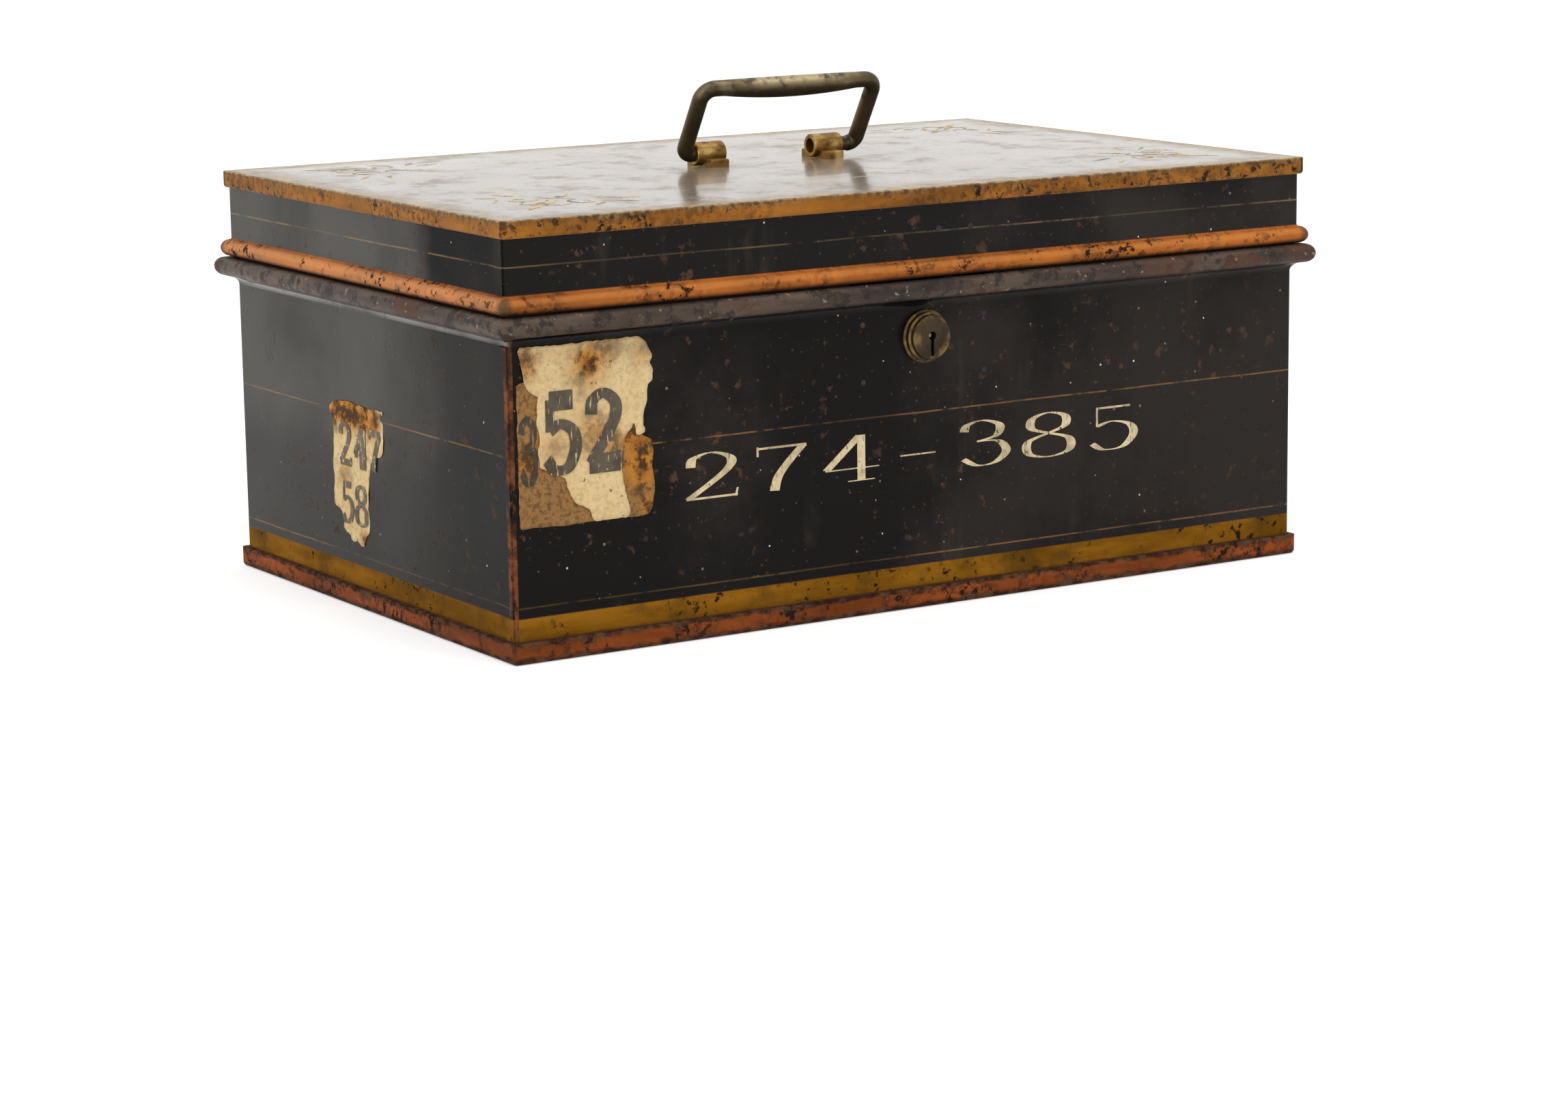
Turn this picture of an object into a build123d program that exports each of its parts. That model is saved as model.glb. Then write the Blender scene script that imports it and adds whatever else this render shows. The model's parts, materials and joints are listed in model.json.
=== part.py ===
from build123d import *
import math
import os

# A japanned deed box of folded sheet iron: a rectangular body with a wired rim, a hinged lid
# with a swaged bead and a hemmed top, a brass swing handle on the lid and a small warded
# lock behind the front wall. All sizes are in millimetres.
#
# X runs right along the front, Y runs to the back and Z runs up. The origin lies under the
# middle of the flat bottom, on the surface that the box stands on.

# ------------------------------------------------------------------ sheet and clearances
SHEET = 0.7  # tinned iron sheet of the body, the lid and the strips
PASS_GAP = 0.35  # gap between parts that only pass each other
RUN_GAP = 0.05  # radial running clearance of a pin in its bore
SEAT_GAP = 0.05  # radial clearance of a rivet or spigot in its hole

# ------------------------------------------------------------------ body
BODY_W = 392.0  # over the walls, left to right
BODY_D = 252.0  # over the walls, front to back
BODY_H = 139.25  # underside to the top of the wired edge
CORNER_R = 1.5  # outer radius of the folded corners
BASE_H = 8.7  # height of the bottom's upturned edge
BASE_OUT = 2.5  # how far that edge stands out from the wall
BASE_CORNER_R = 2.2
BASE_FOLD_R = 2.0  # its rounded fold into the flat bottom
LAP_W = 6.0  # width of the lapped and soldered corner seam
WIRE_R = 3.4  # iron wire in the rim
BEAD_OUT = 3.95  # centre of that wire, out from the wall
CURL_TURN = 290.0  # how far the sheet is rolled around the wire, in degrees
LIP_H = 32.0  # height of the dust lip soldered inside the walls
LIP_RISE = 10.75  # how far it stands up above the wired edge
LIP_END_GAP = 2.0  # from the lock to the ends of the lip, which is broken there

# ------------------------------------------------------------------ lid
LID_GAP = 0.35  # between the rim of the body and the foot of the lid
SKIRT_OUT = 2.0  # the skirt stands out this far from the body's walls
SKIRT_H = 37.0  # foot of the skirt to the underside of the top
LID_BEAD_R = 3.7  # half-round bead swaged along the skirt's foot
LID_BEAD_FOLD_R = 1.2  # hollow fold between that bead and the skirt above it
RIM_OUT = 2.0  # thickness of the hem around the top, outside the skirt
RIM_H = 7.3  # height of that hem
RIM_CORNER_R = 2.2
RIM_FOLD_R = 1.5  # its rounded lower fold
RIM_EDGE_R = 0.6  # its upper edge
CROWN = 1.0  # rise of the top's middle above its rim
CROWN_FOOT = 6.0  # inset from the rim where the rise starts
CROWN_FLAT = 62.0  # inset from the rim where it is level again

# ------------------------------------------------------------------ handle
HANDLE_X = 2.0  # middle of the two knuckles, fitted by hand a little off the centre line
AXIS_UP = 5.5  # swing axis above the lid
BARREL_R = 5.1
BARREL_IN = 23.0  # inner and outer ends of each barrel, from the handle's middle
BARREL_OUT = 37.6
FOOT_IN = 25.2  # inner side of each foot
FOOT_W = 9.0
FOOT_D = 20.4
FOOT_T = 3.5
STUD_R = 1.6  # two studs under each foot pass through the lid and are peened inside
STUD_Y = 7.4
BACKPLATE_W = 118.0  # stiffening plate under the lid
BACKPLATE_D = 34.0
BACKPLATE_T = 0.9
BACKPLATE_R = 3.0  # rounding of its corners
BURR_R = 3.2
BURR_T = 0.8
BAIL_R = 3.5  # round bar of the handle
BAIL_PIN_R = 3.2  # its ends, turned inwards, inside the barrels
BAIL_PIN_IN = 27.5  # inner ends of those pins, from the bail's middle
BAIL_HALF = 44.3  # middle of the bail to the centre line of each leg
BAIL_REACH = 34.4  # swing axis to the centre line of the grip
BAIL_SHIFT = 2.0  # the bail lies to the right of its end play
ELBOW_R = 4.0  # centre-line bend into the knuckles
ELBOW_LEAD = 0.01  # straight bit between a pin and that bend
SHOULDER_R = 6.0  # centre-line bend into the grip
GRIP_R = 4.6  # thickest part of the grip
GRIP_HALF = 34.0  # the grip swells between these places
BAIL_LEAN = 31.3  # angle forward of upright in which the handle stands, in degrees

# ------------------------------------------------------------------ lock and keyhole boss
LOCK_X = 0.0
BOSS_DROP = 24.25  # centre of the boss below the top of the wired edge
KEY_RISE = 0.7  # the keyhole's round part above the centre of the boss
BOSS_H = 6.3
FLANGE_R = 11.2
FLANGE_T = 1.2
NECK_R = 10.3
NECK_H = 3.6
FACE_R = 9.4
FACE_EDGE_R = 0.8
SPIGOT_R = 9.7  # part of the boss that stands in the wall
STEP_BEVEL = 0.5
KEYHOLE_R = 1.8
KEY_SLOT = 1.5
KEY_REACH = 8.5  # how far the key's bit reaches from its shank's centre
KEY_PIN_R = 0.8
KEY_PIN_RECESS = 2.0  # tip of the pin behind the face of the boss
LOCK_DROP = 3.25  # top of the case below the top of the wired edge
LOCK_H = 44.0
LOCK_W = 54.0  # case without its side flanges
LOCK_FLANGE = 7.0
LOCK_T = 1.0  # sheet of the case
CAP_T = 1.2  # plate between the case and the wall
CASE_DEPTH = 10.0
LOCK_RIVET_R = 1.2
LOCK_RIVET_RISE = 6.0  # lower rivets above the foot of the lock
LOCK_RIVET_PITCH = 24.0  # lower to upper rivets
BOLT_IN = 3.0  # front face of the bolt behind the cap
BOLT_T = 3.5
BOLT_H = 6.5
BOLT_NOSE_H = 5.0
BOLT_TAIL = 22.0  # length to the left of the key's centre line
BOLT_STEP = 5.0  # length of the full-height bar to its right
BOLT_THROW = 7.0
BOLT_PAST = 1.0  # how far the thrown bolt reaches past the staple
BOLT_LIFT = 2.5  # how far the key's bit reaches into the bolt's notch
NOTCH_W = 8.0
NOTCH_H = 3.0
STUMP_R = 1.0
STUMP_X = -9.0
SPRING_T = 0.5
SPRING_W = 3.0
SPRING_FOOT = 1.2  # heights of the spring's foot, bend and tip above its lowest place
SPRING_BEND = 4.6
SPRING_TIP = 2.5
WARD_R = 5.6
WARD_T = 0.8
WARD_H = 2.4
WARD_GAP = 3.0

# ------------------------------------------------------------------ hasp on the lid
STAPLE_X = 14.5
STAPLE_T = 4.0
STAPLE_D = 7.0
STAPLE_WEB = 2.0
STAPLE_EDGE_R = 1.2  # rounding of the staple's lower end
EYE_GAP = 0.7  # space around the bolt's nose in the staple's eye
TENON_STEP = 0.8  # shoulder of the staple around its tenon
TENON_CLENCH_H = 0.8
HASP_W = 26.0
HASP_T = 1.2
HASP_RISE = 4.0  # the hasp's shelf above the foot of the lid
HASP_H = 24.4  # height of its riveted plate
HASP_SHELF = 1.0  # how far the shelf reaches past the staple
HASP_RIVET_DROP = 8.5  # rivets below the top of the plate
HASP_RIVET_X = 8.0
HASP_RIVET_R = 1.4

# ------------------------------------------------------------------ hinges
HINGE_INSET = 76.0  # middle of each hinge in from the side wall
HINGE_W = 40.0
LEAF_T = 1.0
HINGE_PIN_R = 1.5
HINGE_HEAD_R = 2.2
HINGE_HEAD_T = 0.8
BODY_LEAF_FLAT = 20.0  # flat part on the wall
LID_LEAF_FLAT = 14.0  # flat part on the skirt
LEAF_START = 1.0  # straight part of a leaf past the bead that it bridges
RIVET_X = 12.0
RIVET_R = 1.5
RIVET_HEAD_R = 2.8
RIVET_HEAD_H = 1.0
CLENCH_H = 0.6  # peened end of a rivet

# ------------------------------------------------------------------ paper labels
PAPER_T = 0.25
FRONT_LABEL_W = 61.6
FRONT_LABEL_H = 72.7
FRONT_LABEL_INSET = 2.8  # in from the left side wall
FRONT_LABEL_DROP = 0.1  # below the flare of the wall
SIDE_LABEL_W = 55.0
SIDE_LABEL_H = 61.3
SIDE_LABEL_Y = 38.0
SIDE_LABEL_Z = 26.6

# ------------------------------------------------------------------ places worked out from them
CURL_R = WIRE_R + RUN_GAP + SHEET
BEAD_Z = BODY_H - CURL_R
WALL_TOP = BEAD_Z - CURL_R - BEAD_OUT  # where the wall starts to flare out under the wired edge
LIP_TOP = BODY_H + LIP_RISE
LIP_BREAK = LOCK_W + 2 * (LOCK_FLANGE + LIP_END_GAP)
LID_FOOT = BODY_H + LID_GAP
SKIRT_TOP = LID_FOOT + SKIRT_H
RIM_TOP = SKIRT_TOP + SHEET
SKIRT_W = BODY_W + 2 * SKIRT_OUT
SKIRT_D = BODY_D + 2 * SKIRT_OUT
PANEL_Z = RIM_TOP + CROWN
AXIS_Z = PANEL_Z + AXIS_UP
BOSS_Z = BODY_H - BOSS_DROP
KEY_Z = BOSS_Z + KEY_RISE
LOCK_TOP = BODY_H - LOCK_DROP
LOCK_FOOT = LOCK_TOP - LOCK_H
LOCK_MID = (LOCK_FOOT + LOCK_TOP) / 2
CASE_BACK = CAP_T + CASE_DEPTH - LOCK_T  # inner face of the case's back, behind the wall
BOLT_FOOT = KEY_Z + KEY_REACH - BOLT_LIFT
BOLT_MID = BOLT_FOOT + BOLT_H / 2
STAPLE_DEPTH = BOLT_IN + CAP_T + BOLT_T / 2  # centre of the bolt and the staple behind the wall
STAPLE_MID = LOCK_X + STAPLE_X
BEAD_MID = LID_FOOT + LID_BEAD_R
FOLD_OUT = LID_BEAD_FOLD_R - SHEET / 2  # centre of the fold, out from the skirt's face
FOLD_TURN = math.degrees(math.acos(FOLD_OUT / (LID_BEAD_R + FOLD_OUT)))
FOLD_Z = BEAD_MID + (LID_BEAD_R + FOLD_OUT) * math.sin(math.radians(FOLD_TURN))
HASP_FOOT = LID_FOOT + HASP_RISE
HASP_TOP = HASP_FOOT + HASP_H
HASP_RIVET_Z = HASP_TOP - HASP_RIVET_DROP
HINGE_X = BODY_W / 2 - HINGE_INSET
HINGE_BARREL_R = HINGE_PIN_R + RUN_GAP + LEAF_T
HINGE_Y = BODY_D / 2 + BEAD_OUT + CURL_R + PASS_GAP + HINGE_BARREL_R
HINGE_Z = LID_FOOT

# ------------------------------------------------------------------ planes and rings
FRONT = Plane(origin=(0, -BODY_D / 2, 0), x_dir=(1, 0, 0), z_dir=(0, -1, 0))
BACK = Plane(origin=(0, BODY_D / 2, 0), x_dir=(-1, 0, 0), z_dir=(0, 1, 0))
LEFT = Plane(origin=(-BODY_W / 2, 0, 0), x_dir=(0, -1, 0), z_dir=(-1, 0, 0))
SKIRT_FRONT = FRONT.offset(SKIRT_OUT)
SKIRT_BACK = BACK.offset(SKIRT_OUT)
WALL_SECTION = Plane(origin=(BODY_W / 2, 0, 0), x_dir=(1, 0, 0), z_dir=(0, -1, 0))


def ring(width, depth):
    """A closed line round the box, started in the middle of its right-hand side."""
    right, back = width / 2, depth / 2
    with BuildLine() as line:
        Polyline((right, 0), (right, back), (-right, back), (-right, -back), (right, -back), close=True)
    return line.wire()


BODY_RING = ring(BODY_W, BODY_D)

os.makedirs("parts", exist_ok=True)


def save(part, name):
    """Label a finished piece and write it to its own file."""
    part.label = name
    export_step(part, f"parts/{name}.step")


def behind_wall(depth):
    """A plane inside the front wall, this far behind the wall's inner face."""
    return FRONT.offset(-SHEET - depth)


def outer_corners(part):
    """The four upright edges of a box that lie farthest out."""
    return part.edges().filter_by(Axis.Z).sort_by(SortBy.DISTANCE)[-4:]


def rivet(plane, x, y, radius, grip, head_r=0, head_h=0):
    """Add a rivet with its head on the plane and its shank through the grip behind it."""
    place = Plane(origin=plane.from_local_coords((x, y, 0)), x_dir=plane.x_dir, z_dir=plane.z_dir)
    with BuildSketch(place) as shank:
        Circle(radius)
    extrude(shank.sketch, amount=-grip - CLENCH_H)
    with BuildSketch(place.offset(-grip)) as clench:
        Circle(radius * 1.4)
    extrude(clench.sketch, amount=-CLENCH_H)
    if head_h > 0:
        with BuildSketch(place) as head:
            Circle(head_r)
        extrude(head.sketch, amount=head_h, taper=35)


# ================================================================== body
with BuildPart() as body_bottom:
    with BuildSketch() as outline:
        RectangleRounded(BODY_W + 2 * BASE_OUT, BODY_D + 2 * BASE_OUT, BASE_CORNER_R)
    extrude(amount=BASE_H)
    fillet(body_bottom.faces().sort_by(Axis.Z)[0].edges(), BASE_FOLD_R)
    with BuildSketch(Plane.XY.offset(SHEET)) as pocket:
        RectangleRounded(BODY_W, BODY_D, CORNER_R)
    extrude(amount=BASE_H, mode=Mode.SUBTRACT)
save(body_bottom.part, "body_bottom")

# The round opening in the front wall takes the boss, and the small ones take rivets.
LOCK_RIVETS = [
    (LOCK_X + side * (LOCK_W + LOCK_FLANGE) / 2, LOCK_FOOT + LOCK_RIVET_RISE + row * LOCK_RIVET_PITCH)
    for side in (-1, 1)
    for row in (0, 1)
]
BODY_LEAF_JOG = WALL_TOP + BEAD_OUT - LEAF_START  # where the body leaf turns in to the wall
BODY_LEAF_IN = HINGE_Y - HINGE_BARREL_R - BODY_D / 2
BODY_LEAF_TOP = BODY_LEAF_JOG - BODY_LEAF_IN
BODY_RIVET_Z = BODY_LEAF_TOP - BODY_LEAF_FLAT / 2
LID_LEAF_JOG = LID_FOOT + 2 * LID_BEAD_R + LEAF_START
LID_LEAF_IN = BODY_LEAF_IN - SKIRT_OUT
LID_LEAF_FOOT = LID_LEAF_JOG + LID_LEAF_IN
LID_RIVET_Z = LID_LEAF_FOOT + LID_LEAF_FLAT / 2
RIVET_COLUMNS = [hinge * HINGE_X + side * RIVET_X for hinge in (-1, 1) for side in (-1, 1)]

with BuildPart() as body_wrapper:
    with BuildSketch(WALL_SECTION) as section:
        with BuildLine() as sheet_line:
            Line((-SHEET / 2, SHEET), (-SHEET / 2, WALL_TOP))
            CenterArc((BEAD_OUT, WALL_TOP), BEAD_OUT + SHEET / 2, 180, -90)
            CenterArc((BEAD_OUT, BEAD_Z), CURL_R - SHEET / 2, -90, CURL_TURN)
        trace(line_width=SHEET)
    sweep(path=BODY_RING, transition=Transition.RIGHT)
    fillet(outer_corners(body_wrapper), CORNER_R)
    # Lapped seams on the side walls, at the front left and the back right corner.
    for side in (-1, 1):
        with BuildSketch(Plane.XY.offset(BASE_H)) as lap:
            with Locations((side * BODY_W / 2, side * (BODY_D / 2 - CORNER_R - LAP_W / 2))):
                Rectangle(SHEET * 2, LAP_W)
        extrude(amount=WALL_TOP - BASE_H)
    with BuildSketch(FRONT) as lock_openings:
        with Locations((LOCK_X, BOSS_Z)):
            Circle(SPIGOT_R + SEAT_GAP)
        with Locations(*LOCK_RIVETS):
            Circle(LOCK_RIVET_R + SEAT_GAP)
    extrude(amount=-SHEET, mode=Mode.SUBTRACT)
    with BuildSketch(BACK) as hinge_openings:
        with Locations(*[(x, BODY_RIVET_Z) for x in RIVET_COLUMNS]):
            Circle(RIVET_R + SEAT_GAP)
    extrude(amount=-SHEET, mode=Mode.SUBTRACT)
save(body_wrapper.part, "body_wrapper")

with BuildPart() as body_rim_wire:
    with BuildSketch(WALL_SECTION) as wire_section:
        with Locations((BEAD_OUT, BEAD_Z)):
            Circle(WIRE_R)
    sweep(path=BODY_RING, transition=Transition.RIGHT)
save(body_rim_wire.part, "body_rim_wire")

with BuildPart() as inner_lip:
    with BuildSketch(Plane.XY.offset(LIP_TOP)) as strip:
        Rectangle(BODY_W - 2 * SHEET, BODY_D - 2 * SHEET)
        Rectangle(BODY_W - 4 * SHEET, BODY_D - 4 * SHEET, mode=Mode.SUBTRACT)
        with Locations((LOCK_X, -BODY_D / 2)):
            Rectangle(LIP_BREAK, 6 * SHEET, mode=Mode.SUBTRACT)
    extrude(amount=-LIP_H)
save(inner_lip.part, "inner_lip")

# ================================================================== keyhole boss and lock
BOSS_SECTION = Plane(origin=(LOCK_X, -BODY_D / 2, BOSS_Z), x_dir=(1, 0, 0), z_dir=(0, 0, -1))
KEY_FACE = Plane(origin=(LOCK_X, -BODY_D / 2, KEY_Z), x_dir=(1, 0, 0), z_dir=(0, -1, 0))

with BuildSketch(KEY_FACE) as keyhole:
    Circle(KEYHOLE_R)
    with Locations((0, -KEY_REACH / 2)):
        Rectangle(KEY_SLOT, KEY_REACH)

with BuildPart() as escutcheon:
    with BuildSketch(BOSS_SECTION) as boss_section:
        with BuildLine() as boss_line:
            Polyline(
                (0, -SHEET),
                (SPIGOT_R, -SHEET),
                (SPIGOT_R, 0),
                (FLANGE_R, 0),
                (FLANGE_R, FLANGE_T),
                (NECK_R, FLANGE_T + STEP_BEVEL),
                (NECK_R, NECK_H),
                (FACE_R, NECK_H + STEP_BEVEL),
                (FACE_R, BOSS_H),
                (0, BOSS_H),
                close=True,
            )
        make_face()
    revolve(axis=Axis((LOCK_X, -BODY_D / 2, BOSS_Z), (0, -1, 0)))
    fillet(escutcheon.faces().sort_by(Axis.Y)[0].edges(), FACE_EDGE_R)
    extrude(keyhole.sketch, amount=BOSS_H + SHEET, both=True, mode=Mode.SUBTRACT)
save(escutcheon.part, "escutcheon")

with BuildPart() as lock_cap:
    with BuildSketch(behind_wall(0)) as cap_outline:
        with Locations((LOCK_X, LOCK_MID)):
            Rectangle(LOCK_W + 2 * LOCK_FLANGE, LOCK_H)
        with Locations(*LOCK_RIVETS):
            Circle(LOCK_RIVET_R + SEAT_GAP, mode=Mode.SUBTRACT)
    extrude(amount=-CAP_T)
    extrude(keyhole.sketch, amount=-SHEET - CAP_T, mode=Mode.SUBTRACT)
save(lock_cap.part, "lock_cap")

with BuildPart() as lock_case:
    with BuildSketch(behind_wall(CAP_T)) as case_outline:
        with Locations((LOCK_X, LOCK_MID)):
            Rectangle(LOCK_W, LOCK_H)
    extrude(amount=-CASE_DEPTH)
    fillet(lock_case.faces().sort_by(Axis.Y)[-1].edges(), LOCK_T)
    with BuildSketch(behind_wall(CAP_T)) as side_flanges:
        with Locations((LOCK_X, LOCK_MID)):
            Rectangle(LOCK_W + 2 * LOCK_FLANGE, LOCK_H)
        with Locations(*LOCK_RIVETS):
            Circle(LOCK_RIVET_R + SEAT_GAP, mode=Mode.SUBTRACT)
    extrude(amount=-LOCK_T)
    with BuildSketch(behind_wall(CAP_T)) as case_hollow:
        with Locations((LOCK_X, LOCK_MID)):
            Rectangle(LOCK_W - 2 * LOCK_T, LOCK_H - 2 * LOCK_T)
        # The slot in the top lets the staple of the hasp in.
        with Locations((LOCK_X + STAPLE_X, LOCK_TOP)):
            Rectangle(STAPLE_T + 4 * PASS_GAP, 4 * LOCK_T)
    extrude(amount=LOCK_T - CASE_DEPTH, mode=Mode.SUBTRACT)
    # A stump guides the bolt's slot, and two studs carry its lower edge.
    with BuildSketch(behind_wall(CASE_BACK)) as guides:
        with Locations((LOCK_X + STUMP_X, BOLT_MID)):
            Circle(STUMP_R)
        with Locations((LOCK_X + PASS_GAP - BOLT_TAIL + BOLT_THROW, BOLT_FOOT - STUMP_R - RUN_GAP)):
            Circle(STUMP_R)
    extrude(amount=CASE_BACK - CAP_T - BOLT_IN + PASS_GAP)
save(lock_case.part, "lock_case")

with BuildPart() as lock_key_pin:
    with BuildSketch(KEY_FACE.offset(-SHEET - CASE_BACK)) as pin_section:
        Circle(KEY_PIN_R)
    extrude(amount=CASE_BACK + SHEET + BOSS_H - KEY_PIN_RECESS)
    with BuildSketch(KEY_FACE.offset(-SHEET - CASE_BACK)) as pin_collar:
        Circle(2 * KEY_PIN_R)
    extrude(amount=LOCK_T)
save(lock_key_pin.part, "lock_key_pin")

with BuildPart() as lock_wards:
    # One collar ward stands on the back of the case and one on the cap.
    for depth, height in ((CASE_BACK, WARD_H), (CAP_T, -WARD_H)):
        with BuildSketch(KEY_FACE.offset(-SHEET - depth)) as ward:
            Circle(WARD_R + WARD_T / 2)
            Circle(WARD_R - WARD_T / 2, mode=Mode.SUBTRACT)
            with Locations((0, -WARD_R)):
                Rectangle(WARD_GAP, 3 * WARD_T, mode=Mode.SUBTRACT)
        extrude(amount=height)
save(lock_wards.part, "lock_wards")

NOSE_TIP = STAPLE_X + STAPLE_T / 2 + BOLT_PAST - BOLT_THROW  # with the bolt drawn back
with BuildPart() as lock_bolt:
    with BuildSketch(behind_wall(CAP_T + BOLT_IN)) as bolt_outline:
        with Locations((LOCK_X + (BOLT_STEP - BOLT_TAIL) / 2, BOLT_MID)):
            Rectangle(BOLT_STEP + BOLT_TAIL, BOLT_H)
        with Locations((LOCK_X + NOSE_TIP / 2, BOLT_MID)):
            Rectangle(NOSE_TIP, BOLT_NOSE_H)
        with Locations((LOCK_X, BOLT_FOOT)):
            Rectangle(NOTCH_W, 2 * NOTCH_H, mode=Mode.SUBTRACT)
        with Locations((LOCK_X + STUMP_X - BOLT_THROW / 2, BOLT_MID)):
            SlotOverall(
                BOLT_THROW + 2 * (STUMP_R + PASS_GAP), 2 * (STUMP_R + RUN_GAP), mode=Mode.SUBTRACT
            )
    extrude(amount=-BOLT_T)
    chamfer(lock_bolt.faces().sort_by(Axis.X)[-1].edges(), BOLT_T / 6)
save(lock_bolt.part, "lock_bolt")

SPRING_LEFT = LOCK_X - LOCK_W / 2 + LOCK_T
SPRING_LOW = BOLT_FOOT + BOLT_H + PASS_GAP + SPRING_T / 2
with BuildPart() as lock_back_spring:
    with BuildSketch(behind_wall(STAPLE_DEPTH - SPRING_W / 2)) as spring_section:
        with BuildLine() as spring_line:
            foot = (SPRING_LEFT + SPRING_T / 2, SPRING_LOW + SPRING_FOOT)
            bend = (SPRING_LEFT + SPRING_T / 2, SPRING_LOW + SPRING_BEND)
            tip = (LOCK_X + BOLT_STEP, SPRING_LOW + SPRING_TIP)
            Line(foot, bend)
            ThreePointArc(bend, (LOCK_X + STUMP_X, SPRING_LOW), tip)
        trace(line_width=SPRING_T)
    extrude(amount=-SPRING_W)
save(lock_back_spring.part, "lock_back_spring")

with BuildPart() as lock_rivets:
    for x, z in LOCK_RIVETS:
        rivet(FRONT, x, z, LOCK_RIVET_R, SHEET + CAP_T + LOCK_T)
save(lock_rivets.part, "lock_rivets")

# ================================================================== hinges
with BuildPart() as hinge_body_rivets:
    for x in RIVET_COLUMNS:
        rivet(BACK.offset(LEAF_T), x, BODY_RIVET_Z, RIVET_R, LEAF_T + SHEET, RIVET_HEAD_R, RIVET_HEAD_H)
save(hinge_body_rivets.part, "hinge_body_rivets")

with BuildPart() as hinge_lid_rivets:
    for x in RIVET_COLUMNS:
        rivet(
            SKIRT_BACK.offset(LEAF_T), x, LID_RIVET_Z, RIVET_R, LEAF_T + SHEET, RIVET_HEAD_R, RIVET_HEAD_H
        )
save(hinge_lid_rivets.part, "hinge_lid_rivets")


def leaf_section(plane, jog_z, seat_y, flat_z, end_z):
    """Draw a hinge leaf from its rolled barrel past a bead and in to the sheet that it holds."""
    strip_y = HINGE_Y - HINGE_BARREL_R + LEAF_T / 2
    with BuildSketch(plane) as section:
        with BuildLine() as leaf_line:
            Polyline(
                (strip_y, HINGE_Z),
                (strip_y, jog_z),
                (seat_y + LEAF_T / 2, flat_z),
                (seat_y + LEAF_T / 2, end_z),
            )
        trace(line_width=LEAF_T)
        with Locations((HINGE_Y, HINGE_Z)):
            Circle(HINGE_BARREL_R)
            Circle(HINGE_PIN_R + RUN_GAP, mode=Mode.SUBTRACT)
    return section.sketch


KNUCKLE_W = HINGE_W / 3
CLEAR = 2 * (HINGE_BARREL_R + PASS_GAP)
for name, side in (("left", -1), ("right", 1)):
    start = Plane.YZ.offset(side * HINGE_X - HINGE_W / 2)
    with BuildPart() as body_leaf:
        body_leaf_section = leaf_section(
            start, BODY_LEAF_JOG, BODY_D / 2, BODY_LEAF_TOP, BODY_LEAF_TOP - BODY_LEAF_FLAT
        )
        extrude(body_leaf_section, amount=HINGE_W)
        with Locations((side * HINGE_X, HINGE_Y, HINGE_Z)):
            Box(KNUCKLE_W + 2 * PASS_GAP, CLEAR, CLEAR, mode=Mode.SUBTRACT)
        with BuildSketch(BACK) as body_leaf_holes:
            with Locations(*[(-side * HINGE_X + end * RIVET_X, BODY_RIVET_Z) for end in (-1, 1)]):
                Circle(RIVET_R + SEAT_GAP)
        extrude(amount=LEAF_T, mode=Mode.SUBTRACT)
    save(body_leaf.part, f"hinge_{name}_body_leaf")

    with BuildPart() as lid_leaf:
        lid_leaf_section = leaf_section(
            start, LID_LEAF_JOG, BODY_D / 2 + SKIRT_OUT, LID_LEAF_FOOT, LID_LEAF_FOOT + LID_LEAF_FLAT
        )
        extrude(lid_leaf_section, amount=HINGE_W)
        with Locations(*[(side * HINGE_X + end * KNUCKLE_W, HINGE_Y, HINGE_Z) for end in (-1, 1)]):
            Box(KNUCKLE_W, CLEAR, CLEAR, mode=Mode.SUBTRACT)
        with BuildSketch(SKIRT_BACK) as lid_leaf_holes:
            with Locations(*[(-side * HINGE_X + end * RIVET_X, LID_RIVET_Z) for end in (-1, 1)]):
                Circle(RIVET_R + SEAT_GAP)
        extrude(amount=LEAF_T, mode=Mode.SUBTRACT)
    save(lid_leaf.part, f"hinge_{name}_lid_leaf")

    with BuildPart() as hinge_pin:
        with BuildSketch(start) as hinge_pin_section:
            with Locations((HINGE_Y, HINGE_Z)):
                Circle(HINGE_PIN_R)
        extrude(amount=HINGE_W)
        for end, amount in ((start, -HINGE_HEAD_T), (start.offset(HINGE_W), HINGE_HEAD_T)):
            with BuildSketch(end) as hinge_pin_head:
                with Locations((HINGE_Y, HINGE_Z)):
                    Circle(HINGE_HEAD_R)
            extrude(amount=amount)
    save(hinge_pin.part, f"hinge_{name}_pin")

# ================================================================== lid
def skirt_outline(plane, width, inset):
    """Draw the skirt and its bead from one side of the box, set in by this much from their faces."""
    side, foot = width / 2, LID_FOOT + inset
    with BuildSketch(plane) as outline:
        with BuildLine() as edge:
            Polyline((0, SKIRT_TOP), (side - inset, SKIRT_TOP), (side - inset, FOLD_Z))
            # The bead springs from the skirt through a small hollow fold.
            CenterArc((side + FOLD_OUT, FOLD_Z), FOLD_OUT + inset, 180, FOLD_TURN)
            CenterArc((side, BEAD_MID), LID_BEAD_R - inset, FOLD_TURN, -90 - FOLD_TURN)
            Polyline((side, foot), (0, foot), (0, SKIRT_TOP))
        make_face()
        mirror(about=Plane.YZ)
    return outline.sketch


with BuildPart() as skirt_hollow:
    extrude(skirt_outline(Plane.XZ, SKIRT_W, SHEET), amount=SKIRT_D, both=True)
    extrude(skirt_outline(Plane.YZ, SKIRT_D, SHEET), amount=SKIRT_W, both=True, mode=Mode.INTERSECT)
    with BuildSketch(Plane.XY.offset(LID_FOOT)) as skirt_mouth:
        Rectangle(SKIRT_W - 2 * SHEET, SKIRT_D - 2 * SHEET)
    extrude(amount=SKIRT_H)

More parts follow.
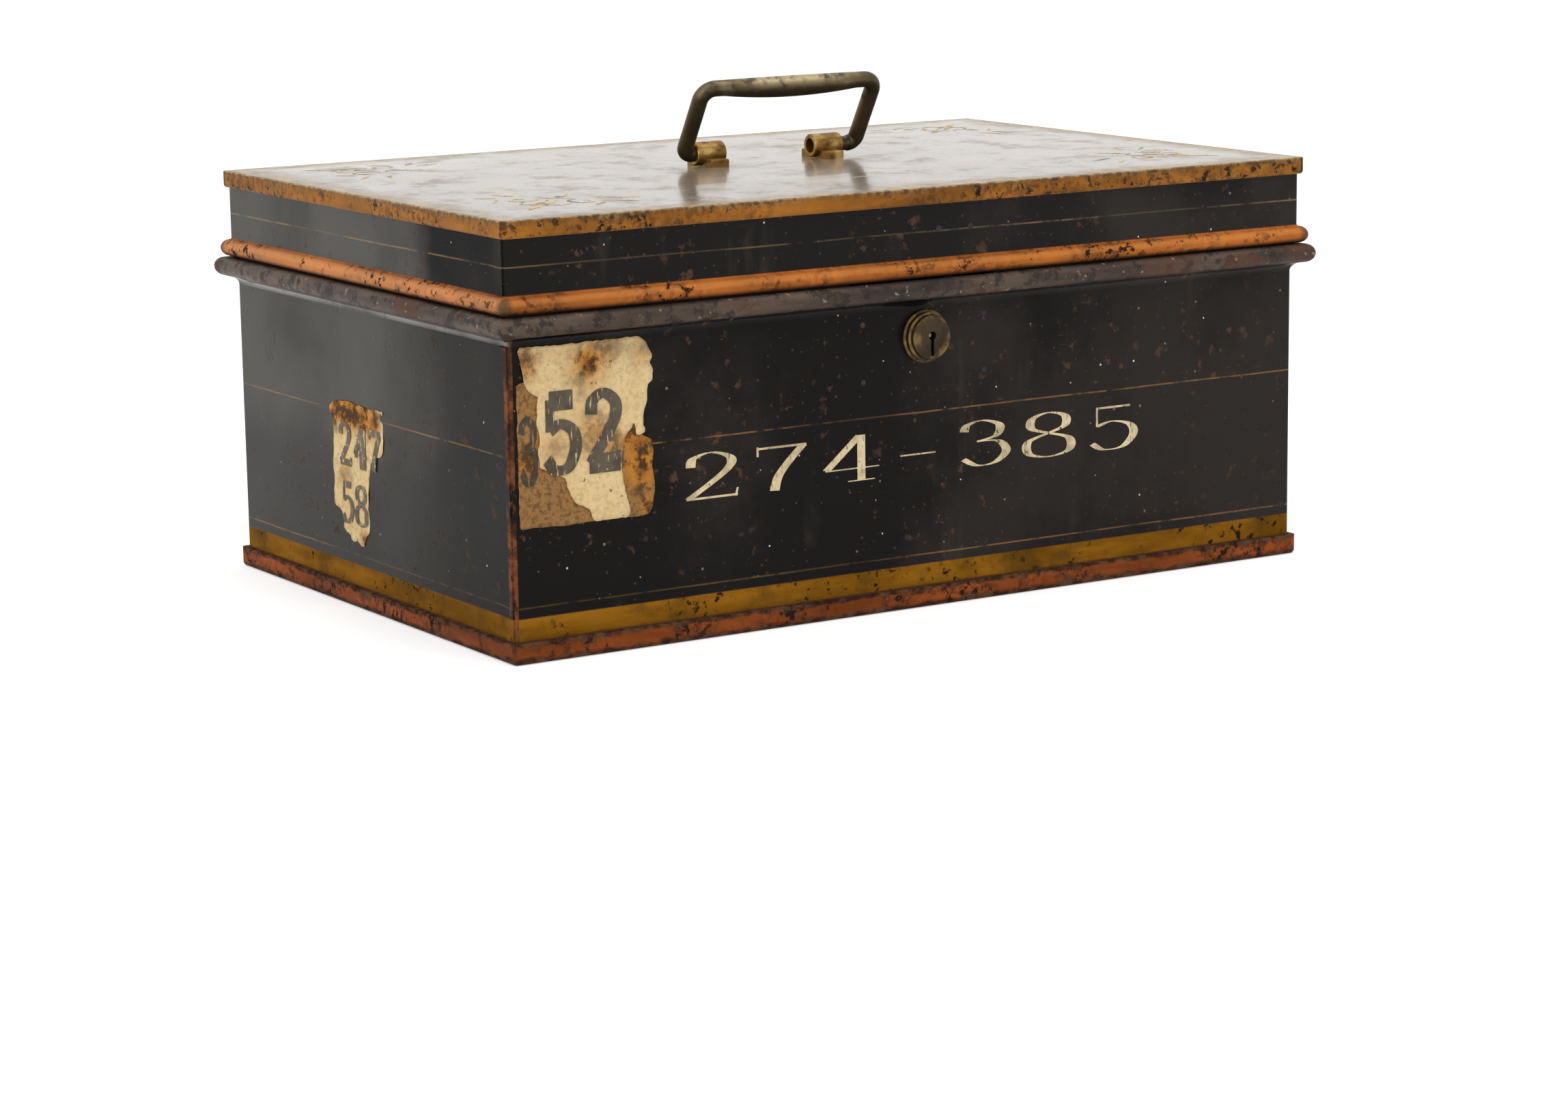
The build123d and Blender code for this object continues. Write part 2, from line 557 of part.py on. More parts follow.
with BuildPart() as lid_skirt:
    # The outlines seen from the front and from the side, crossed, give mitred corners.
    extrude(skirt_outline(Plane.XZ, SKIRT_W, 0), amount=SKIRT_D, both=True)
    extrude(skirt_outline(Plane.YZ, SKIRT_D, 0), amount=SKIRT_W, both=True, mode=Mode.INTERSECT)
    fillet(outer_corners(lid_skirt), CORNER_R)
    add(skirt_hollow.part, mode=Mode.SUBTRACT)
    # Lapped seams on the side walls, as on the body.
    for side in (-1, 1):
        with BuildSketch(Plane.XY.offset(FOLD_Z)) as lid_lap:
            with Locations((side * SKIRT_W / 2, side * (SKIRT_D / 2 - CORNER_R - LAP_W / 2))):
                Rectangle(SHEET * 2, LAP_W)
        extrude(amount=SKIRT_TOP - RIM_H + SHEET - FOLD_Z)
    with BuildSketch(SKIRT_FRONT) as hasp_openings:
        with Locations(*[(STAPLE_MID + end * HASP_RIVET_X, HASP_RIVET_Z) for end in (-1, 1)]):
            Circle(HASP_RIVET_R + SEAT_GAP)
    extrude(amount=-SHEET, mode=Mode.SUBTRACT)
    with BuildSketch(SKIRT_BACK) as lid_hinge_openings:
        with Locations(*[(x, LID_RIVET_Z) for x in RIVET_COLUMNS]):
            Circle(RIVET_R + SEAT_GAP)
    extrude(amount=-SHEET, mode=Mode.SUBTRACT)
save(lid_skirt.part, "lid_skirt")

STUDS = [
    (HANDLE_X + side * (FOOT_IN + FOOT_W / 2), end * STUD_Y) for side in (-1, 1) for end in (-1, 1)
]
RIM_W = SKIRT_W + 2 * RIM_OUT
RIM_D = SKIRT_D + 2 * RIM_OUT
with BuildPart() as lid_top:
    with BuildSketch(Plane.XY.offset(RIM_TOP - RIM_H)) as rim_outline:
        RectangleRounded(RIM_W, RIM_D, RIM_CORNER_R)
    extrude(amount=RIM_H)
    fillet(lid_top.faces().sort_by(Axis.Z)[0].edges(), RIM_FOLD_R)
    fillet(lid_top.faces().sort_by(Axis.Z)[-1].edges(), RIM_EDGE_R)
    with BuildSketch(Plane.XY.offset(SKIRT_TOP)) as skirt_pocket:
        RectangleRounded(SKIRT_W, SKIRT_D, CORNER_R)
    extrude(amount=-RIM_H, mode=Mode.SUBTRACT)
    # The top rises gently to a level middle, above and below the sheet alike.
    for level, mode in ((RIM_TOP, Mode.ADD), (SKIRT_TOP, Mode.SUBTRACT)):
        for inset, rise in ((CROWN_FOOT, 0), (CROWN_FLAT, CROWN)):
            with BuildSketch(Plane.XY.offset(level + rise)) as crown_outline:
                RectangleRounded(RIM_W - 2 * inset, RIM_D - 2 * inset, RIM_CORNER_R)
        loft(mode=mode)
    with BuildSketch(Plane.XY.offset(PANEL_Z)) as stud_openings:
        with Locations(*STUDS):
            Circle(STUD_R + SEAT_GAP)
    extrude(amount=-2 * SHEET, mode=Mode.SUBTRACT)
save(lid_top.part, "lid_top")

STAPLE_Y = -BODY_D / 2 + SHEET + STAPLE_DEPTH
SHELF_TOP = HASP_FOOT + HASP_T
with BuildPart() as lid_hasp:
    with BuildSketch(Plane.YZ.offset(STAPLE_MID - HASP_W / 2)) as hasp_section:
        plate_y = -SKIRT_D / 2 + SHEET + HASP_T / 2
        shelf_z = HASP_FOOT + HASP_T / 2
        with BuildLine() as hasp_line:
            FilletPolyline(
                (plate_y, HASP_TOP),
                (plate_y, shelf_z),
                (STAPLE_Y + STAPLE_D / 2 + HASP_SHELF, shelf_z),
                radius=HASP_T,
            )
        trace(line_width=HASP_T)
    extrude(amount=HASP_W)
    with BuildSketch(SKIRT_FRONT) as hasp_holes:
        with Locations(*[(STAPLE_MID + end * HASP_RIVET_X, HASP_RIVET_Z) for end in (-1, 1)]):
            Circle(HASP_RIVET_R + SEAT_GAP)
    extrude(amount=-SHEET - HASP_T, mode=Mode.SUBTRACT)
    with BuildSketch(Plane.XY.offset(SHELF_TOP)) as tenon_hole:
        with Locations((STAPLE_MID, STAPLE_Y)):
            Rectangle(
                STAPLE_T - 2 * (TENON_STEP - SEAT_GAP), STAPLE_D - 2 * (TENON_STEP - SEAT_GAP)
            )
    extrude(amount=-HASP_T, mode=Mode.SUBTRACT)
save(lid_hasp.part, "lid_hasp")

EYE_H = BOLT_NOSE_H + 2 * EYE_GAP
with BuildPart() as hasp_staple:
    with BuildSketch(Plane.YZ.offset(STAPLE_MID - STAPLE_T / 2)) as staple_section:
        foot_z = BOLT_MID - EYE_H / 2 - STAPLE_WEB
        with Locations((STAPLE_Y, (foot_z + HASP_FOOT) / 2)):
            Rectangle(STAPLE_D, HASP_FOOT - foot_z)
        fillet(staple_section.vertices().sort_by(Axis.Z)[:2], STAPLE_EDGE_R)
        with Locations((STAPLE_Y, BOLT_MID)):
            Rectangle(BOLT_T + 2 * EYE_GAP, EYE_H, mode=Mode.SUBTRACT)
    extrude(amount=STAPLE_T)
    # Its tenon goes through the shelf of the hasp and is peened over above it.
    with BuildSketch(Plane.XY.offset(HASP_FOOT)) as tenon:
        with Locations((STAPLE_MID, STAPLE_Y)):
            Rectangle(STAPLE_T - 2 * TENON_STEP, STAPLE_D - 2 * TENON_STEP)
    extrude(amount=HASP_T)
    with BuildSketch(Plane.XY.offset(SHELF_TOP)) as tenon_clench:
        with Locations((STAPLE_MID, STAPLE_Y)):
            Rectangle(STAPLE_T, STAPLE_D)
    extrude(amount=TENON_CLENCH_H, taper=20)
save(hasp_staple.part, "hasp_staple")

with BuildPart() as hasp_rivets:
    for end in (-1, 1):
        rivet(SKIRT_FRONT, STAPLE_MID + end * HASP_RIVET_X, HASP_RIVET_Z, HASP_RIVET_R, SHEET + HASP_T)
save(hasp_rivets.part, "hasp_rivets")

# ================================================================== handle
UNDER_PANEL = PANEL_Z - SHEET
with BuildPart() as handle_backplate:
    with BuildSketch(Plane.XY.offset(UNDER_PANEL)) as backplate_outline:
        with Locations((HANDLE_X, 0)):
            RectangleRounded(BACKPLATE_W, BACKPLATE_D, BACKPLATE_R)
        with Locations(*STUDS):
            Circle(STUD_R + SEAT_GAP, mode=Mode.SUBTRACT)
    extrude(amount=-BACKPLATE_T)
save(handle_backplate.part, "handle_backplate")

with BuildPart() as handle_burrs:
    with BuildSketch(Plane.XY.offset(UNDER_PANEL - BACKPLATE_T)) as burr_outline:
        with Locations(*STUDS):
            Circle(BURR_R)
            Circle(STUD_R + SEAT_GAP, mode=Mode.SUBTRACT)
    extrude(amount=-BURR_T)
save(handle_burrs.part, "handle_burrs")

for name, side in (("left", -1), ("right", 1)):
    foot_x = HANDLE_X + side * (FOOT_IN + FOOT_W / 2)
    with BuildPart() as knuckle:
        with BuildSketch(Plane.XY.offset(PANEL_Z)) as foot_outline:
            with Locations((foot_x, 0)):
                Rectangle(FOOT_W, FOOT_D)
        extrude(amount=FOOT_T)
        fillet(knuckle.faces().sort_by(Axis.Z)[-1].edges(), FOOT_T / 5)
        with BuildSketch(Plane.YZ.offset(HANDLE_X + side * BARREL_IN)) as barrel_section:
            with Locations((0, AXIS_Z)):
                Circle(BARREL_R)
        extrude(amount=side * (BARREL_OUT - BARREL_IN))
        barrel_ends = knuckle.edges().filter_by(GeomType.CIRCLE).filter_by(
            lambda edge: abs(edge.radius - BARREL_R) < 1e-6 and edge.is_closed
        )
        chamfer(barrel_ends, BARREL_R / 12)
        with BuildSketch(Plane.YZ.offset(HANDLE_X + side * BARREL_IN)) as bore_section:
            with Locations((0, AXIS_Z)):
                Circle(BAIL_PIN_R + RUN_GAP)
        extrude(amount=side * (BARREL_OUT - BARREL_IN), mode=Mode.SUBTRACT)
        with BuildSketch(Plane.XY.offset(PANEL_Z)) as stud_section:
            with Locations((foot_x, -STUD_Y), (foot_x, STUD_Y)):
                Circle(STUD_R)
        extrude(amount=-SHEET - BACKPLATE_T - BURR_T)
    save(knuckle.part, f"handle_knuckle_{name}")

# The bail lies in a plane through the swing axis that leans forward of upright.
LEAN = math.radians(BAIL_LEAN)
BAIL_PLANE = Plane(
    origin=(HANDLE_X + BAIL_SHIFT, 0, AXIS_Z), x_dir=(1, 0, 0), z_dir=(0, -math.cos(LEAN), -math.sin(LEAN))
)


def across_bail(x, height):
    """A plane across the grip, at this place and height in the plane of the bail."""
    return Plane(origin=BAIL_PLANE.from_local_coords((x, height, 0)), z_dir=(1, 0, 0))


with BuildPart() as handle_bail:
    for side in (-1, 1):
        # The pin, the leg and the two bends of one side.
        neck = BAIL_HALF - ELBOW_R - ELBOW_LEAD
        with BuildSketch(across_bail(side * BAIL_PIN_IN, 0)) as end_section:
            Circle(BAIL_PIN_R)
        extrude(amount=side * (neck - BAIL_PIN_IN))
        with BuildLine(BAIL_PLANE) as leg_line:
            FilletPolyline(
                (side * neck, 0),
                (side * BAIL_HALF, 0),
                (side * BAIL_HALF, BAIL_REACH),
                (side * GRIP_HALF, BAIL_REACH),
                radius=(ELBOW_R, SHOULDER_R),
            )
        with BuildSketch(across_bail(side * neck, 0)) as leg_section:
            Circle(BAIL_R)
        sweep(path=leg_line.wire())
    # The grip swells towards its middle on its underside.
    for place, radius in ((-1, BAIL_R), (0, GRIP_R), (1, BAIL_R)):
        with BuildSketch(across_bail(place * GRIP_HALF, BAIL_REACH + BAIL_R - radius)) as grip_section:
            Circle(radius)
    loft()
save(handle_bail.part, "handle_bail")

# ================================================================== paper labels
FRONT_LABEL_X = -BODY_W / 2 + FRONT_LABEL_INSET
FRONT_LABEL_FOOT = WALL_TOP - FRONT_LABEL_DROP - FRONT_LABEL_H
with BuildPart() as label_front:
    with BuildSketch(FRONT) as front_paper:
        with BuildLine() as front_edge:
            Polyline(
                *[
                    (FRONT_LABEL_X + x * FRONT_LABEL_W, FRONT_LABEL_FOOT + z * FRONT_LABEL_H)
                    for x, z in (
                        (0, 0), (0.7, 0.01), (0.95, 0), (0.99, 0.11), (1, 0.35), (0.99, 0.42),
                        (0.92, 0.46), (0.93, 0.6), (0.99, 0.75), (1, 0.88), (0.95, 0.97), (0.9, 1),
                        (0.4, 0.99), (0.01, 1),
                    )
                ],
                close=True,
            )
        make_face()
    extrude(amount=PAPER_T)
save(label_front.part, "label_front")

with BuildPart() as label_side:
    with BuildSketch(LEFT) as side_paper:
        with BuildLine() as side_edge:
            Polyline(
                *[
                    (x * SIDE_LABEL_W - SIDE_LABEL_Y, SIDE_LABEL_Z + z * SIDE_LABEL_H)
                    for x, z in (
                        (0.34, 0), (0.55, 0.01), (0.65, 0.11), (0.65, 0.39), (0.7, 0.6), (0.86, 0.67),
                        (0.94, 0.8), (0.93, 0.9), (1, 0.99), (0.73, 0.98), (0.33, 1), (0.11, 0.98),
                        (0, 0.92), (0.07, 0.85), (0.06, 0.24), (0.19, 0.1),
                    )
                ],
                close=True,
            )
        make_face()
    extrude(amount=PAPER_T)
save(label_side.part, "label_side")
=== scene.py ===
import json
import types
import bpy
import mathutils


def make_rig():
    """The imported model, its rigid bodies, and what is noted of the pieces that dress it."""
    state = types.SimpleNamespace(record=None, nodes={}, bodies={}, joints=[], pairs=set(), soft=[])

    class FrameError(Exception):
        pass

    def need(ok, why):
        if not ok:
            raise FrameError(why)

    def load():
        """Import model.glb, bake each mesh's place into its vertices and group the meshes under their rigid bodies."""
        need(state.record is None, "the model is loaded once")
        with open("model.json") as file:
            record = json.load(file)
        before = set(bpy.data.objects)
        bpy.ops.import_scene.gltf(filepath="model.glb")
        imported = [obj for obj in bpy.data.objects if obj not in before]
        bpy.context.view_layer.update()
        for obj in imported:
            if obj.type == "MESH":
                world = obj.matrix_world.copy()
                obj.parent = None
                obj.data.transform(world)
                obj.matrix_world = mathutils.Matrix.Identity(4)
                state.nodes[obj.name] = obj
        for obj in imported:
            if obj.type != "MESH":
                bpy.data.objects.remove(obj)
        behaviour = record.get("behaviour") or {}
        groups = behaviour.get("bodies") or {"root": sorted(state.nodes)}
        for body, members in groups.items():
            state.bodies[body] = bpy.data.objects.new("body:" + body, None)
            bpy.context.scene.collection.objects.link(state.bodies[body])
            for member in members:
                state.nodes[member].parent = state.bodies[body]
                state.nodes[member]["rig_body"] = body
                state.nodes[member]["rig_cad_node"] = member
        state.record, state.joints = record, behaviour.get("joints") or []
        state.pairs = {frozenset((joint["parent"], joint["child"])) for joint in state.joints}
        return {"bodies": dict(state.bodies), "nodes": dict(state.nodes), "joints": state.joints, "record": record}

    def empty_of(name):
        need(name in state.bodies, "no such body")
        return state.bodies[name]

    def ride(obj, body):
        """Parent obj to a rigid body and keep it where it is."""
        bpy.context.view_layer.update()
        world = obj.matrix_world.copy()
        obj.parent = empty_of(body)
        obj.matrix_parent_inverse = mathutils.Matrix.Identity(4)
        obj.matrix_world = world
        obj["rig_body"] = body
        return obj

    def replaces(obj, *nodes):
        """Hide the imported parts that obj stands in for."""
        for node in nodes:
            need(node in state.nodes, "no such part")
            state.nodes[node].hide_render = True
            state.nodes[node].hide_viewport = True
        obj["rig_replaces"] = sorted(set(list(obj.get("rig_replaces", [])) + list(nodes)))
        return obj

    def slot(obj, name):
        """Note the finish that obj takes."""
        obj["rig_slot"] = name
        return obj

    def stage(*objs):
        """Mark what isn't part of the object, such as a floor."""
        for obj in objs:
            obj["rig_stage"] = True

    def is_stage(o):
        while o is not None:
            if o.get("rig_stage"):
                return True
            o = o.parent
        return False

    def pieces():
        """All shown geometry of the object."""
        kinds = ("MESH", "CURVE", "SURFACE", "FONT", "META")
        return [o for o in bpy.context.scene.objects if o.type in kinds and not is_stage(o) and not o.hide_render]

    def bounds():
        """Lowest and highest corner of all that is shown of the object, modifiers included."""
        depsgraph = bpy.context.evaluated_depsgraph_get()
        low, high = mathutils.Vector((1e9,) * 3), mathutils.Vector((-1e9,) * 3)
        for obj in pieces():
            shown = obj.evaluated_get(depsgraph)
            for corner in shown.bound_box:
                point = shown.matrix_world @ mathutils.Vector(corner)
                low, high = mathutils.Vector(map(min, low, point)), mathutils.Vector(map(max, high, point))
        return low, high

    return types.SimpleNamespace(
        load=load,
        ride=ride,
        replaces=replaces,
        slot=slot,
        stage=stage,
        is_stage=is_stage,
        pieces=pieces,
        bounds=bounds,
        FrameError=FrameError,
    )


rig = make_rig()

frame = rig.load()

import json
import math
import random

import bpy
from bpy.props import FloatProperty, FloatVectorProperty, PointerProperty, StringProperty
from mathutils import Matrix, Vector, noise

bl_info = {
    "name": "Deed Box",
    "version": (1, 0, 0),
    "blender": (4, 5, 0),
    "location": "3D Viewport > Sidebar > Deed Box",
    "description": "Dresses the CAD frame of a japanned deed box with paint, brass, paper and a stage",
    "category": "Object",
}

CAD_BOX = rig.bounds()
MM = 0.001

# Places on the CAD sheets, in metres. Half the width and half the depth of each outer face:
WALL = (0.196, 0.126)
BASE = (0.1985, 0.1285)
SKIRT = (0.198, 0.128)
LID = (0.200, 0.130)
# Heights:
BASE_SEAM = (0.0084, 0.0092)
FLARE = (0.1274, 0.1310)
RIM_FOOT = 0.1309
BEAD_TOP = 0.1472
HEM_TOP = 0.1766
PANEL = 0.1773
# The lid's crown: its rise, and where it starts from the edge and how far it runs.
CROWN = 0.001
CROWN_START = 0.006
CROWN_RUN = 0.056
# How far in from an outer face the paint of the inside takes over.
SHEET_IN = (0.00050, 0.00060)
# The tint that old varnish gives to a shine.
FILM = (1.0, 0.92, 0.82)
# Gaps that keep thin layers apart: paper and wall, paper and paper, the lid and its gold, stroke and stroke.
WALL_GAP = 0.00012
PAPER_GAP = 0.00016
GOLD_GAP = 0.00006
STROKE_GAP = 0.000002


# ---- settings
def colour(name, default, description):
    return FloatVectorProperty(
        name=name, description=description, default=default, size=3, min=0, max=1, subtype="COLOR"
    )


def length(name, default, description):
    return FloatProperty(name=name, description=description, default=default, min=0, unit="LENGTH")


def amount(name, default, description):
    return FloatProperty(name=name, description=description, default=default, min=0, soft_max=1)


class PaintSettings(bpy.types.PropertyGroup):
    """Colours and ruled lines of the japanned sheet."""

    black: colour("Black", (0.0055, 0.0050, 0.0051), "Black japan of the walls and the lid")
    bronze: colour("Bronze", (0.235, 0.100, 0.008), "Bronze powder band above the base")
    orange: colour("Orange", (0.48, 0.150, 0.028), "Grained orange-brown bands and beads")
    rust: colour("Rust", (0.075, 0.032, 0.016), "Bare and rusty iron in chips and at edges")
    inside: colour("Inside", (0.060, 0.036, 0.021), "Thin brown japan of the inside")
    cream: colour("Cream", (0.46, 0.37, 0.215), "Cream paint of the sign-written numerals")
    band_low: length("Band foot", 0.0087, "Foot of the bronze band")
    band_high: length("Band top", 0.0182, "Top of the bronze band")
    line: length("Line", 0.00065, "Width of a ruled line")
    low_line: length("Low line", 0.0224, "Height of the line above the band")
    mid_line: length("Middle line", 0.0830, "Height of the line round the middle of the body")
    lid_line: length("Lid line", 0.1587, "Height of the line round the lid's skirt")
    border: length("Border", 0.0475, "Inset of the gold line on top of the lid")
    wear: amount("Wear", 1.0, "How much the paint is chipped and rusted")


class BrassSettings(bpy.types.PropertyGroup):
    """Colours of the old brass."""

    patina: colour("Patina", (0.070, 0.052, 0.026), "Dark film on the handle")
    dull: colour("Dull", (0.200, 0.105, 0.022), "Dull brass of the knuckles")
    bright: colour("Bright", (0.60, 0.40, 0.14), "Brass of the knuckles where it is clean")
    dark: colour("Dark", (0.026, 0.018, 0.009), "Dark film on the keyhole boss")
    # On the grip this bright colour stands for both hand rub and a painted highlight on its upper side.
    worn: colour("Worn", (0.52, 0.42, 0.24), "Brass rubbed bright by the hand")


class PaperSettings(bpy.types.PropertyGroup):
    """Size of the paper's mesh, its colours and its plain numerals."""

    step: length("Step", 0.0009, "Spacing of the paper's mesh")
    sheet: length("Sheet", 0.00014, "Thickness of the paper")
    curl: length("Curl", 0.0005, "How far torn edges lift")
    cream: colour("Cream", (0.80, 0.60, 0.31), "Aged paper")
    brown: colour("Brown", (0.340, 0.180, 0.062), "Older, browner paper under it")
    stain: colour("Stain", (0.56, 0.215, 0.026), "Rust stain")
    ink: colour("Ink", (0.068, 0.054, 0.036), "Faded printing ink")
    front_number: StringProperty(name="Front", description="Numerals on the front label", default="52")
    old_number: StringProperty(name="Front, older", description="Numeral left on the older paper", default="3")
    side_number: StringProperty(name="Side, upper", description="Upper numerals of the side label", default="247")
    side_lower: StringProperty(name="Side, lower", description="Lower numerals of the side label", default="58")
    wall_number: StringProperty(name="Wall", description="Painted numerals on the front", default="274-385")


class StageSettings(bpy.types.PropertyGroup):
    """Camera, floor and lamps."""

    lens: FloatProperty(name="Lens", description="Focal length in millimetres", default=92.04, min=1)
    floor: length("Floor", 30.0, "Width of the floor")
    key: FloatProperty(name="Key", description="Power of the large lamp above", default=24.0, min=0)
    fill: FloatProperty(name="Fill", description="Power of the lamp at the left", default=14.0, min=0)
    sky: amount("Sky", 0.70, "Strength of the even light")
    floor_glow: amount("Floor glow", 0.36, "Added to the floor where the camera or a reflection sees it")


# ---- shader helpers
class Shader:
    """A new material, or world, and the nodes that are added to it."""

    def __init__(self, name, family="materials", output="ShaderNodeOutputMaterial"):
        self.owner = getattr(bpy.data, family).new(name)
        self.owner.use_nodes = True
        self.tree = self.owner.node_tree
        self.tree.nodes.clear()
        self.output = self.add(output)
        self.place = self.add("ShaderNodeTexCoord").outputs["Object"]
        self.x, self.y, self.z = self.add("ShaderNodeSeparateXYZ", Vector=self.place).outputs
        self.off_x, self.off_y = self.math("ABSOLUTE", self.x), self.math("ABSOLUTE", self.y)

    def add(self, kind, settings=None, **inputs):
        """Add a node. An input's name has an underscore for each space."""
        node = self.tree.nodes.new(kind)
        for key, value in (settings or {}).items():
            setattr(node, key, value)
        for key, value in inputs.items():
            self.put(node.inputs[key.replace("_", " ")], value)
        return node

    def put(self, socket, value):
        """Link an output to a socket, or set a constant on it."""
        if isinstance(value, bpy.types.NodeSocket):
            self.tree.links.new(value, socket)
        elif socket.type == "RGBA":
            socket.default_value = (*value, 1.0)
        else:
            socket.default_value = value

    def math(self, operation, first, second=None):
        node = self.add("ShaderNodeMath", {"operation": operation})
        self.put(node.inputs[0], first)
        if second is not None:
            self.put(node.inputs[1], second)
        return node.outputs[0]

    def step(self, value, low, high):
        """Rise smoothly from 0 at low to 1 at high."""
        limits = {"From_Min": low, "From_Max": high}
        node = self.add("ShaderNodeMapRange", {"interpolation_type": "SMOOTHSTEP"}, Value=value, **limits)
        return node.outputs["Result"]

    def fall(self, value, low, high):
        """Fall smoothly from 1 at low to 0 at high."""
        return self.math("SUBTRACT", 1.0, self.step(value, low, high))

    def between(self, value, low, high, soft=0.00012):
        rise = self.step(value, low - soft, low + soft)
        return self.math("SUBTRACT", rise, self.step(value, high - soft, high + soft))

    def both(self, first, second):
        """Where both masks are, or a mask times a share."""
        return self.math("MULTIPLY", first, second)

    def either(self, first, second):
        return self.math("MAXIMUM", first, second)

    def without(self, first, second):
        return self.both(first, self.math("SUBTRACT", 1.0, second))

    def noise(self, scale, detail=4, rough=0.55, bend=0.0, stretch=None):
        vector = self.place
        if stretch:
            vector = self.add("ShaderNodeMapping", Vector=self.place, Scale=stretch).outputs[0]
        node = self.add(
            "ShaderNodeTexNoise", Vector=vector, Scale=scale, Detail=detail, Roughness=rough, Distortion=bend
        )
        return node.outputs["Fac"]

    def patches(self, low, high, scale, detail=6, **look):
        """A mask that rises from 0 to 1 where a noise passes between these two levels."""
        return self.step(self.noise(scale, detail, **look), low, high)

    def waver(self, height, scale, **look):
        """A noise of this height about zero."""
        return self.both(self.math("SUBTRACT", self.noise(scale, **look), 0.5), height)

    def specks(self, plane, spacing, size, share):
        """Round specks in a plane: their spacing and radius in metres, and the share of places that has one."""
        node = self.add("ShaderNodeTexVoronoi", {"voronoi_dimensions": "2D"}, Vector=plane, Scale=1 / spacing)
        pick = self.add("ShaderNodeSeparateColor", Color=node.outputs["Color"])
        dot = self.math("LESS_THAN", node.outputs["Distance"], self.both(pick.outputs[1], size / spacing))
        return self.both(dot, self.math("LESS_THAN", pick.outputs[0], share))

    def mix(self, fac, first, second):
        """Mix two colours."""
        node = self.add("ShaderNodeMix", {"data_type": "RGBA"})
        for index, value in ((0, fac), (6, first), (7, second)):
            self.put(node.inputs[index], value)
        return node.outputs[2]

    def blend(self, fac, first, second):
        """Mix two numbers."""
        node = self.add("ShaderNodeMix", {"data_type": "FLOAT"})
        for index, value in ((0, fac), (2, first), (3, second)):
            self.put(node.inputs[index], value)
        return node.outputs[0]

    def close(self, shader):
        """Put this shader node on the surface, and give back what it belongs to."""
        self.put(self.output.inputs["Surface"], shader.outputs[0])
        return self.owner


class Coats(Shader):
    """A material of coats of paint, dirt and wear laid over each other."""

    def __init__(self, name, base, rough, metal=0.0, gloss=0.5):
        super().__init__(name)
        self.colour, self.rough, self.metal, self.gloss, self.height = base, rough, metal, gloss, 0.0

    def lay(self, mask, share=1.0, shade=None, **look):
        """Lay a coat where the mask is, this opaque. The look is any of rough, metal, gloss and height."""
        if share != 1.0:
            mask = self.both(mask, share)
        if shade is not None:
            self.colour = self.mix(mask, self.colour, shade)
        for quality, value in look.items():
            setattr(self, quality, self.blend(mask, getattr(self, quality), value))

    def join(self, relief, waves=0.0, varnish=0.0, film=(1.0, 1.0, 1.0), dust=0.0):
        """Close the material. The relief and the sheet's waves are heights in metres, and a film tints its shine."""
        shader = self.add(
            "ShaderNodeBsdfPrincipled",
            Base_Color=self.colour, Roughness=self.rough, Metallic=self.metal,
            Specular_IOR_Level=self.gloss, Specular_Tint=film, Coat_Weight=varnish, Coat_Roughness=0.12,
            Sheen_Weight=dust, Sheen_Roughness=0.4, Sheen_Tint=(1.0, 0.80, 0.55),
        )
        bump = self.add("ShaderNodeBump", Strength=1.0, Distance=relief, Height=self.height)
        if waves:
            wave = self.add("ShaderNodeBump", Strength=1.0, Distance=waves, Height=self.noise(9, detail=2))
            self.put(bump.inputs["Normal"], wave.outputs[0])
        for socket in ("Normal", "Coat Normal"):
            self.put(shader.inputs[socket], bump.outputs[0])
        return self.close(shader)


def tint(base, factor, turn=(1.0, 1.0, 1.0)):
    """A colour times a factor, and turned by one more for each channel."""
    return tuple(min(1.0, channel * factor * part) for channel, part in zip(base, turn))


# ---- coats of the painted sheet
def age_black(kit, paint, plane):
    """Cloudy bloom, faint drips, rust flecks, scuffs and specks on black japan."""
    # The bloom leans: it grows heavier, and the black paler, towards the right end.
    lean = kit.both(kit.x, 0.35)
    bloom = kit.step(kit.math("ADD", kit.noise(7, detail=6, rough=0.6), lean), 0.44, 0.66)
    kit.lay(bloom, 0.8, shade=(0.028, 0.023, 0.021), rough=0.34)
    smear = kit.patches(0.55, 0.70, 62, stretch=(1.0, 1.0, 0.16))
    smear = kit.both(smear, kit.patches(0.48, 0.62, 19, detail=3))
    kit.lay(smear, 0.55 * paint.wear, shade=(0.050, 0.040, 0.030), rough=0.5)
    blot = kit.both(kit.patches(0.595, 0.65, 150, rough=0.62), kit.patches(0.46, 0.58, 24, detail=4))
    rust = kit.mix(kit.noise(300), (0.040, 0.022, 0.015), (0.110, 0.060, 0.038))
    kit.lay(blot, 0.85 * paint.wear, shade=rust, rough=0.75, gloss=0.1, height=-0.5)
    scuff = kit.patches(0.66, 0.70, 1, detail=4, rough=0.6, stretch=(150, 150, 900))
    scuff = kit.both(scuff, kit.patches(0.54, 0.60, 17, detail=3))
    kit.lay(scuff, 0.5 * paint.wear, shade=(0.10, 0.060, 0.040), rough=0.6)
    for spacing, size, share, shade in (
        (0.015, 0.00065, 0.35, (0.19, 0.14, 0.10)),
        (0.019, 0.00050, 0.35, (0.62, 0.57, 0.50)),
        (0.0055, 0.0006, 0.40, (0.060, 0.038, 0.026)),
    ):
        kit.lay(kit.specks(plane, spacing, size, share), shade=shade, rough=0.8, height=0.5)


def chip(kit, paint, mask, low):
    """Chips that show dark bare iron within a painted band. A higher low leaves fewer of them."""
    spots = kit.patches(low, low + 0.04, 260, rough=0.66)
    spots = kit.both(spots, kit.patches(0.40, 0.56, 33.8, detail=3))
    kit.lay(kit.both(spots, mask), paint.wear, shade=(0.020, 0.013, 0.010), rough=0.7, metal=0.0, height=-1.0)


